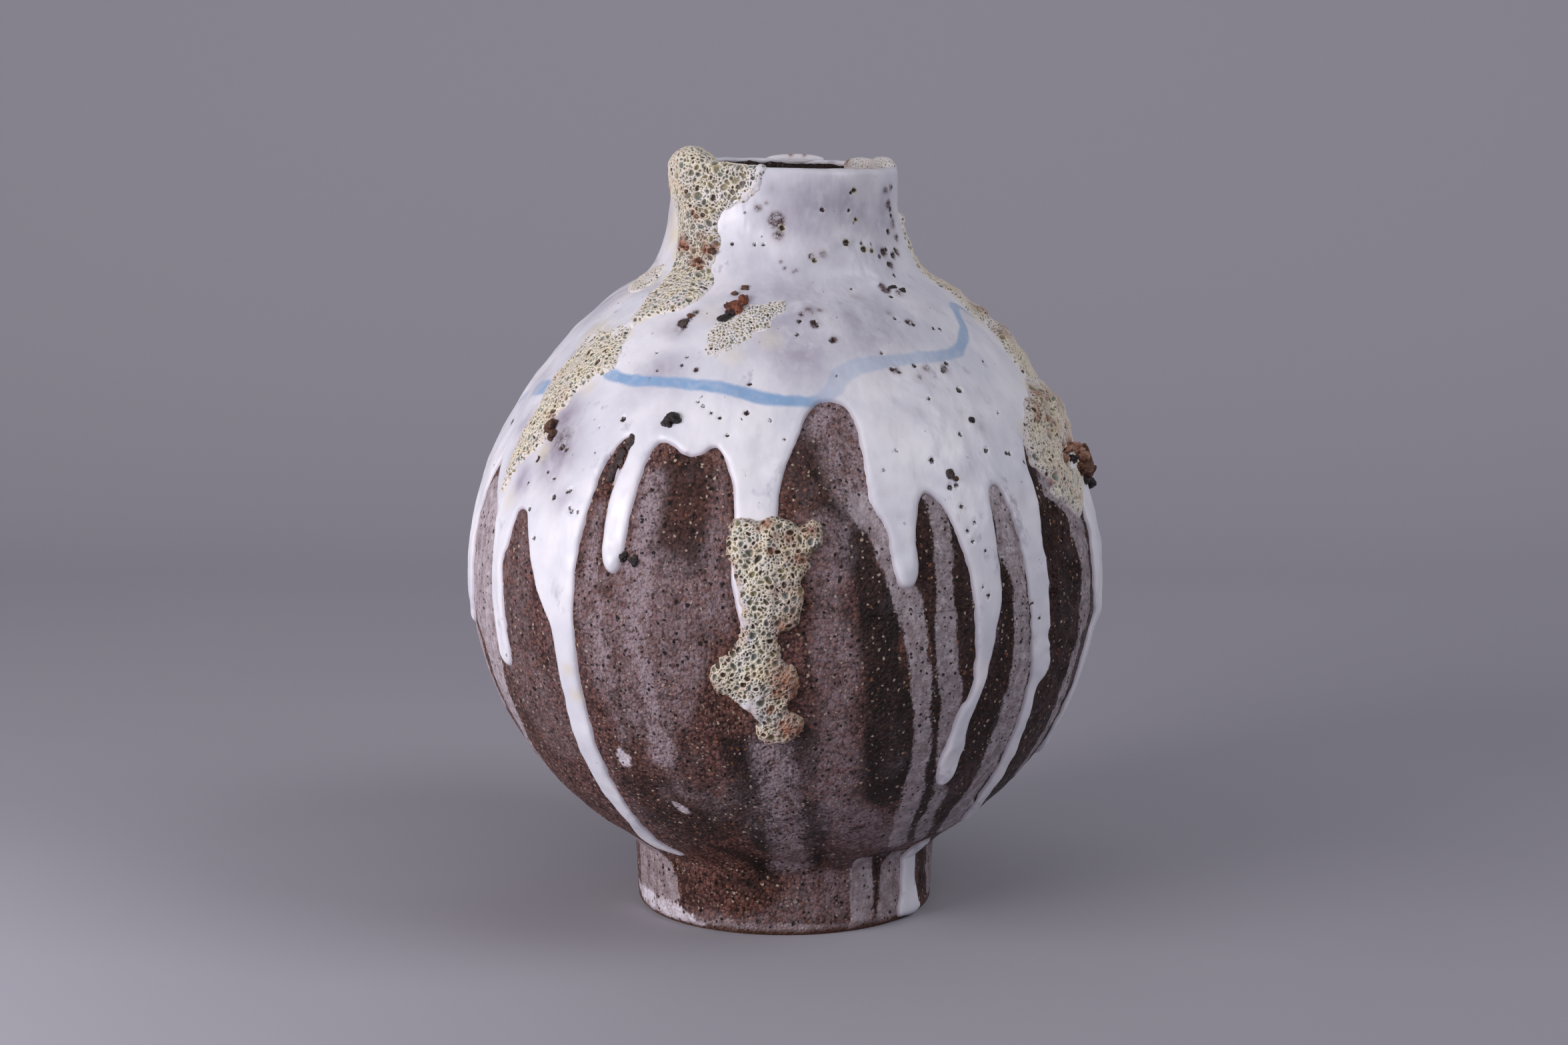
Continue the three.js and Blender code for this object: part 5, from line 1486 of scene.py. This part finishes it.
def stone_material(name, dark, light, glassy):
    t = Tree(name)
    t.colour = t.mix(t.fit(t.noise(2.6, 5, 0.65), 0.35, 0.65), dark, light)
    grain = t.noise(0.7, 4, 0.7)
    t.paint(t.times(t.fit(grain, 0.55, 0.8), 0.5), STONE_GRAIN)
    pits = t.specks(1.6, 0.5, 0.3)
    t.paint(pits, STONE_PIT)
    normal = t.bump(t.minus(grain, pits), 0.4, 0.9)
    shine = t.fit(t.noise(3, 2, 0.5), 0.3, 0.7, glassy, glassy + 0.3)
    return t.finish(shine, normal, 0.5)


def ball(subdivisions):
    """Corners and triangles of a fine ball with radius 1."""
    work = bmesh.new()
    bmesh.ops.create_icosphere(work, subdivisions=subdivisions, radius=1)
    ways = np.array([corner.co[:] for corner in work.verts])
    faces = np.array([[corner.index for corner in face.verts] for face in work.faces])
    work.free()
    return ways, faces


def roughened(ways, amount, seed):
    """Scales of a ball's corners that make it a rough lump."""
    rough = noise_at(ways, 0.95, seed) + 0.47 * noise_at(ways, 0.4, seed + 1)
    return (1 + amount * (rough + 0.2 * noise_at(ways, 0.16, seed + 2)))[:, None]


def ball_foam(points, shares, largest, seed):
    """Bubbles packed side by side all over a ball's points."""
    chance = np.random.default_rng(seed)
    foam = Foam(len(points), largest)
    radius = float(np.mean(np.linalg.norm(points - points.mean(axis=0), axis=1)))
    shifts = [noise_at(points, 2.6, seed + k) for k in range(3)]
    warp = BUBBLE_WARP * np.stack(shifts, axis=1)
    area = 4 * math.pi * radius ** 2
    for size, pick in bubble_tries(chance, len(points), area, largest, SMALLEST_BUBBLE * 1.4, shares):
        if foam.room[pick] < size * BUBBLE_PACKING:
            continue
        gap = np.linalg.norm(points + warp - points[pick] - warp[pick], axis=1)
        foam.open(slice(None), gap, size, chance.random())
    return foam


def crust_knob(name, node, material, azimuth, radius, height, halves, seed, rust=(), *, largest, smooth=0.0,
               rough=0.13):
    """A rounded mass of crust that sits astride the lip. The halves run across, outward and up."""
    ways, faces = ball(6)
    shape = ways * roughened(ways, rough, seed) * np.array(halves)
    foam = ball_foam(shape, BUBBLE_SHARES[1:7], largest, seed)
    foam.bowl *= 1 - smooth
    inward = ways / np.linalg.norm(ways / np.array(halves), axis=1)[:, None] / np.array(halves)
    inward /= np.linalg.norm(inward, axis=1)[:, None]
    shape = shape - inward * foam.depth()[:, None]
    turn = math.radians(azimuth)
    across = np.array([math.cos(turn), math.sin(turn), 0])
    outward = np.array([math.sin(turn), -math.cos(turn), 0])
    up = np.array([0, 0, 1])
    centre = outward * radius + up * height
    points = centre + shape[:, :1] * across + shape[:, 1:2] * outward + shape[:, 2:] * up
    rusty = np.zeros(len(points))
    for across_place, up_place, reach, strength in rust:
        gap = np.hypot(shape[:, 0] - across_place, shape[:, 2] - up_place)
        rusty = np.maximum(rusty, strength * np.exp(-(gap / reach) ** 2))
    fields = {
        "deep": foam.bowl,
        "kind": foam.kind,
        "rust": rusty,
        "skin": np.full(len(points), smooth),
        "burnt": np.zeros(len(points)),
    }
    dress(mesh_object(name, points, faces, fields), material, node)


def stone_lump(name, node, material, azimuth, height, across, up, proud, seed):
    """A rough lump pressed into the wall, as large as across by up and standing proud of the ground."""
    ways, faces = ball(5)
    shape = ways * roughened(ways, STONE_ROUGH, seed)
    along = float(along_at(height))
    spot = Surface([azimuth, azimuth + 0.01], [along, along + 0.1])
    carried = float(ground(spot)[0, 0])
    rows = along + shape[:, 1] * up / 2
    out = carried + shape[:, 2] * proud * (1 - STONE_SUNK) + proud * STONE_SUNK * 0.4
    turn = np.radians(azimuth) + shape[:, 0] * across / 2 / float(spot.radius[0])
    radius = np.interp(rows, PATH, PATH_RADIUS) + np.interp(rows, PATH, OUT_R) * out
    points = turned(turn, radius, np.interp(rows, PATH, PATH_HEIGHT) + np.interp(rows, PATH, OUT_Z) * out)
    dress(mesh_object(name, points, faces), material, node)


def stone_pieces():
    black = stone_material("black_stone", tone(22, 16, 18), tone(50, 38, 38), 0.3)
    brown = stone_material("brown_stone", tone(58, 36, 30), tone(120, 82, 62), 0.5)
    red = stone_material("red_stone", tone(62, 30, 24), tone(150, 84, 60), 0.45)
    torn = stone_material("torn_clay", tone(40, 32, 32), tone(84, 68, 66), 0.5)
    pale = stone_material("pale_clinker", tone(120, 78, 62), tone(196, 150, 126), 0.5)
    # Material, then azimuth, height, width across and up, and how far proud
    stones = {
        "black_shoulder_stone": [(black, -23.2, 222.6, 6, 4.6, 4), (black, -24.6, 221, 3.6, 3.4, 2.6)],
        "shoulder_clinker": [
            (black, -18, 260.6, 5.4, 5, 1.8), (red, -15.6, 264.4, 5.6, 5.6, 3.4),
            (red, -13.6, 267, 3.4, 4.6, 3), (red, -18, 264.6, 4.4, 3.2, 2.6),
            (black, -16.6, 262.4, 4.4, 4.2, 3),
        ],
        "shoulder_pebble": [(brown, -15.3, 271.3, 3.4, 2.6, 1.8), (brown, -18, 269, 2.6, 2.4, 1.6)],
        "left_neck_clinker": [
            (red, -50.5, 288, 5.4, 5, 4), (red, -52.4, 286, 3.4, 3.6, 3), (brown, -48.6, 290, 3, 3, 3.6),
        ],
        "right_neck_clinker": [
            (red, -36, 286.5, 5.4, 4.4, 4), (brown, -33.8, 285, 3.4, 3, 3), (red, -39, 281, 4.6, 3.6, 2.6),
        ],
        "left_shoulder_pebble": [(torn, -30.8, 258.6, 4, 4, 1.2), (brown, -29.4, 261, 3.2, 3.4, 1.5)],
        "brown_shoulder_stone": [(brown, -54.5, 215.5, 5, 7.4, 4.2), (brown, -53.2, 212.6, 3.6, 4, 3)],
        "right_drip_stone": [(torn, 32.3, 201.5, 3, 3.4, 1.6), (brown, 33.1, 200, 2.2, 2.4, 1.6)],
        "right_shoulder_stone": [(black, 44.4, 270, 4.6, 2.6, 1.6), (black, 47, 268.6, 3.4, 2.2, 1.4)],
        "right_shoulder_pebble": [(black, 42, 220.6, 2.6, 2.6, 1.8)],
        "slot_chip": [
            (torn, -31.8, 214, 4.4, 6, 1.6), (torn, -33.2, 208, 5, 8, 2), (torn, -34, 202, 3.4, 7, 1.6),
        ],
        "drip_pebble_left": [(black, -28.3, 171, 3.2, 4, 2.4)],
        "drip_pebble_right": [(black, -26.2, 170, 3.4, 3.6, 2.2)],
        "hook_clinker": [
            (pale, 69.6, 199.6, 6, 3.6, 5), (pale, 72, 201.8, 7, 3.6, 6.4), (pale, 75.4, 202, 7, 4, 7),
            (pale, 78.6, 200, 7, 4.6, 7.4), (pale, 80.6, 196, 8, 6, 7), (brown, 76, 193, 10, 5, 6.4),
            (brown, 80, 190.6, 10, 6, 6.6), (black, 81, 186, 9, 6, 6.4), (black, 77, 188, 7, 4, 5),
            (black, 73.6, 198, 8, 5, 5), (brown, 86, 194, 12, 12, 6), (torn, 93, 194, 12, 10, 4),
        ],
    }
    seed = FIRST_STONE_SEED
    for node, lumps in stones.items():
        for number, (material, *place) in enumerate(lumps):
            stone_lump(f"fired_{node}_{number}", node, material, *place, seed=seed)
            seed += STONE_SEED_STEP


# Runs of glaze on their own

def glaze_run(name, node, material, loop, thick, beads):
    azimuths, heights = np.array(loop, float).T
    low = max(float(along_at(heights.min())) - RUN_MARGIN, RUN_LOWEST)
    high = float(along_at(heights.max())) + RUN_MARGIN
    columns = np.arange(azimuths.min() - RUN_SIDE, azimuths.max() + RUN_SIDE, RUN_COLUMN)
    surface = Surface(columns, np.arange(low, high, RUN_ROW))
    depth = surface.depth_in(loop) + 0.5 * surface.noise(6, 81)
    body = surface.with_mounds(thick * (1 + 0.25 * surface.noise(9, 82)), beads)
    under = np.where(depth > 0, UNDER_GLAZE, 1) * clay_relief(surface) * above_foot(surface)
    points = surface.place(rolled(depth, body, COAT_ROLL) + under)
    empty = np.zeros(surface.shape)
    fields = {
        "depth": depth,
        "blue_gap": empty + 6,
        "blue_tint": empty,
        "cream": empty,
        "dark": empty,
        "thin": empty,
        "hole": empty - HOLE_REACH,
        "halo": empty - HOLE_REACH,
    }
    dress(sheet_object(name, points, depth > -TUCK, fields), material, node)


def glaze_runs(material):
    right = [
        (72, 205), (71, 187), (70.8, 176), (71, 160), (71.8, 146), (73.5, 138), (75, 133), (74, 129),
        (72.5, 126), (72, 115), (72.5, 100), (73.5, 84), (75, 72), (77.5, 69), (78.8, 74), (78.2, 90),
        (77.6, 108), (77.8, 122), (79.5, 128), (82, 130), (83, 138), (81, 150), (79.5, 165), (79.4, 187),
        (81, 205),
    ]
    foot = [
        (49, 31), (49.4, 20), (48.6, 10), (48, 3), (50, 1.5), (58, 1.2), (64, 1.6), (64.6, 5), (60.5, 9),
        (58.8, 20), (59.4, 31), (59, 36), (50, 36),
    ]
    beads = [(78.6, 134, 5, 1.4), (76.8, 75, 4, 0.8)]
    glaze_run("glaze_right_run", "right_glaze_run", material, right, 1.5, beads)
    glaze_run("glaze_foot_run", "foot_glaze_run", material, foot, 1.5, [(57, 5, 6, 0.9)])


# Stage, camera and lights

def camera():
    data = bpy.data.cameras.new("camera")
    data.sensor_width = CAMERA_SENSOR
    data.lens = CAMERA_LENS
    made = linked("camera", data)
    made.location = CAMERA_PLACE
    made.rotation_euler = (math.pi / 2 - CAMERA_TILT, 0, 0)
    bpy.context.scene.camera = made


def backdrop():
    """A sheet of pale grey paper that curves up behind the jar, with painted light on its far part."""
    flat_end = PAPER_BACK - PAPER_BEND
    profile = [(-PAPER_SIDE, 0.0), (0.0, 0.0), (flat_end, 0.0)]
    profile += [(flat_end + PAPER_BEND * math.sin(a), PAPER_BEND - PAPER_BEND * math.cos(a))
                for a in np.linspace(0, math.pi / 2, 24)[1:]]
    profile.append((PAPER_BACK, PAPER_TOP))
    points = np.array([[(x, y, z) for x in (-PAPER_SIDE, PAPER_SIDE)] for y, z in profile]) / MM
    faces = grid_faces(points.shape[:2], False).reshape(-1, 4)
    far = np.repeat(smooth_step(np.array([y for y, z in profile]), 0, flat_end), 2)
    sheet = mesh_object("stage_backdrop", points.reshape(-1, 3), faces, {"far": far})
    t = Tree("paper")
    t.colour = t.mix(t.fit(t.noise(300, 2, 0.5), 0.3, 0.7), PAPER_DARK, PAPER_LIGHT)
    # Painted light: the far part of the paper, which curves up behind the jar, is made lighter
    t.paint(t.field("far"), PAPER_FAR_LIT)
    sheet.data.materials.append(t.finish(0.9, None, 0.1))


def soft_light(name, place, target, size, power, colour):
    data = bpy.data.lights.new(name, "AREA")
    data.shape = "RECTANGLE"
    data.size, data.size_y = size
    data.energy = power
    data.color = colour
    made = linked(name, data)
    made.location = place
    made.rotation_euler = (Vector(target) - Vector(place)).to_track_quat("-Z", "Y").to_euler()


def lights():
    for light in LIGHTS:
        soft_light(*light)
    world = bpy.data.worlds.new("room")
    world.use_nodes = True
    background = world.node_tree.nodes["Background"]
    background.inputs["Color"].default_value = ROOM_TONE
    background.inputs["Strength"].default_value = ROOM_STRENGTH
    bpy.context.scene.world = world


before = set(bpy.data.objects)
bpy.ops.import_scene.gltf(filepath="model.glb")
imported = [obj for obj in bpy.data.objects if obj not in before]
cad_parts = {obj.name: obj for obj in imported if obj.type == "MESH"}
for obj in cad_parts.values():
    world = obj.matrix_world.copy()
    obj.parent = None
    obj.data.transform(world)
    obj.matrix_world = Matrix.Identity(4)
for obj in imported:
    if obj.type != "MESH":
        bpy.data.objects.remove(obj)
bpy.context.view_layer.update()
camera()
clay_pieces()
glaze_pieces()
crust_pieces()
stone_pieces()
backdrop()
lights()
bpy.context.scene.view_settings.view_transform = "Standard"
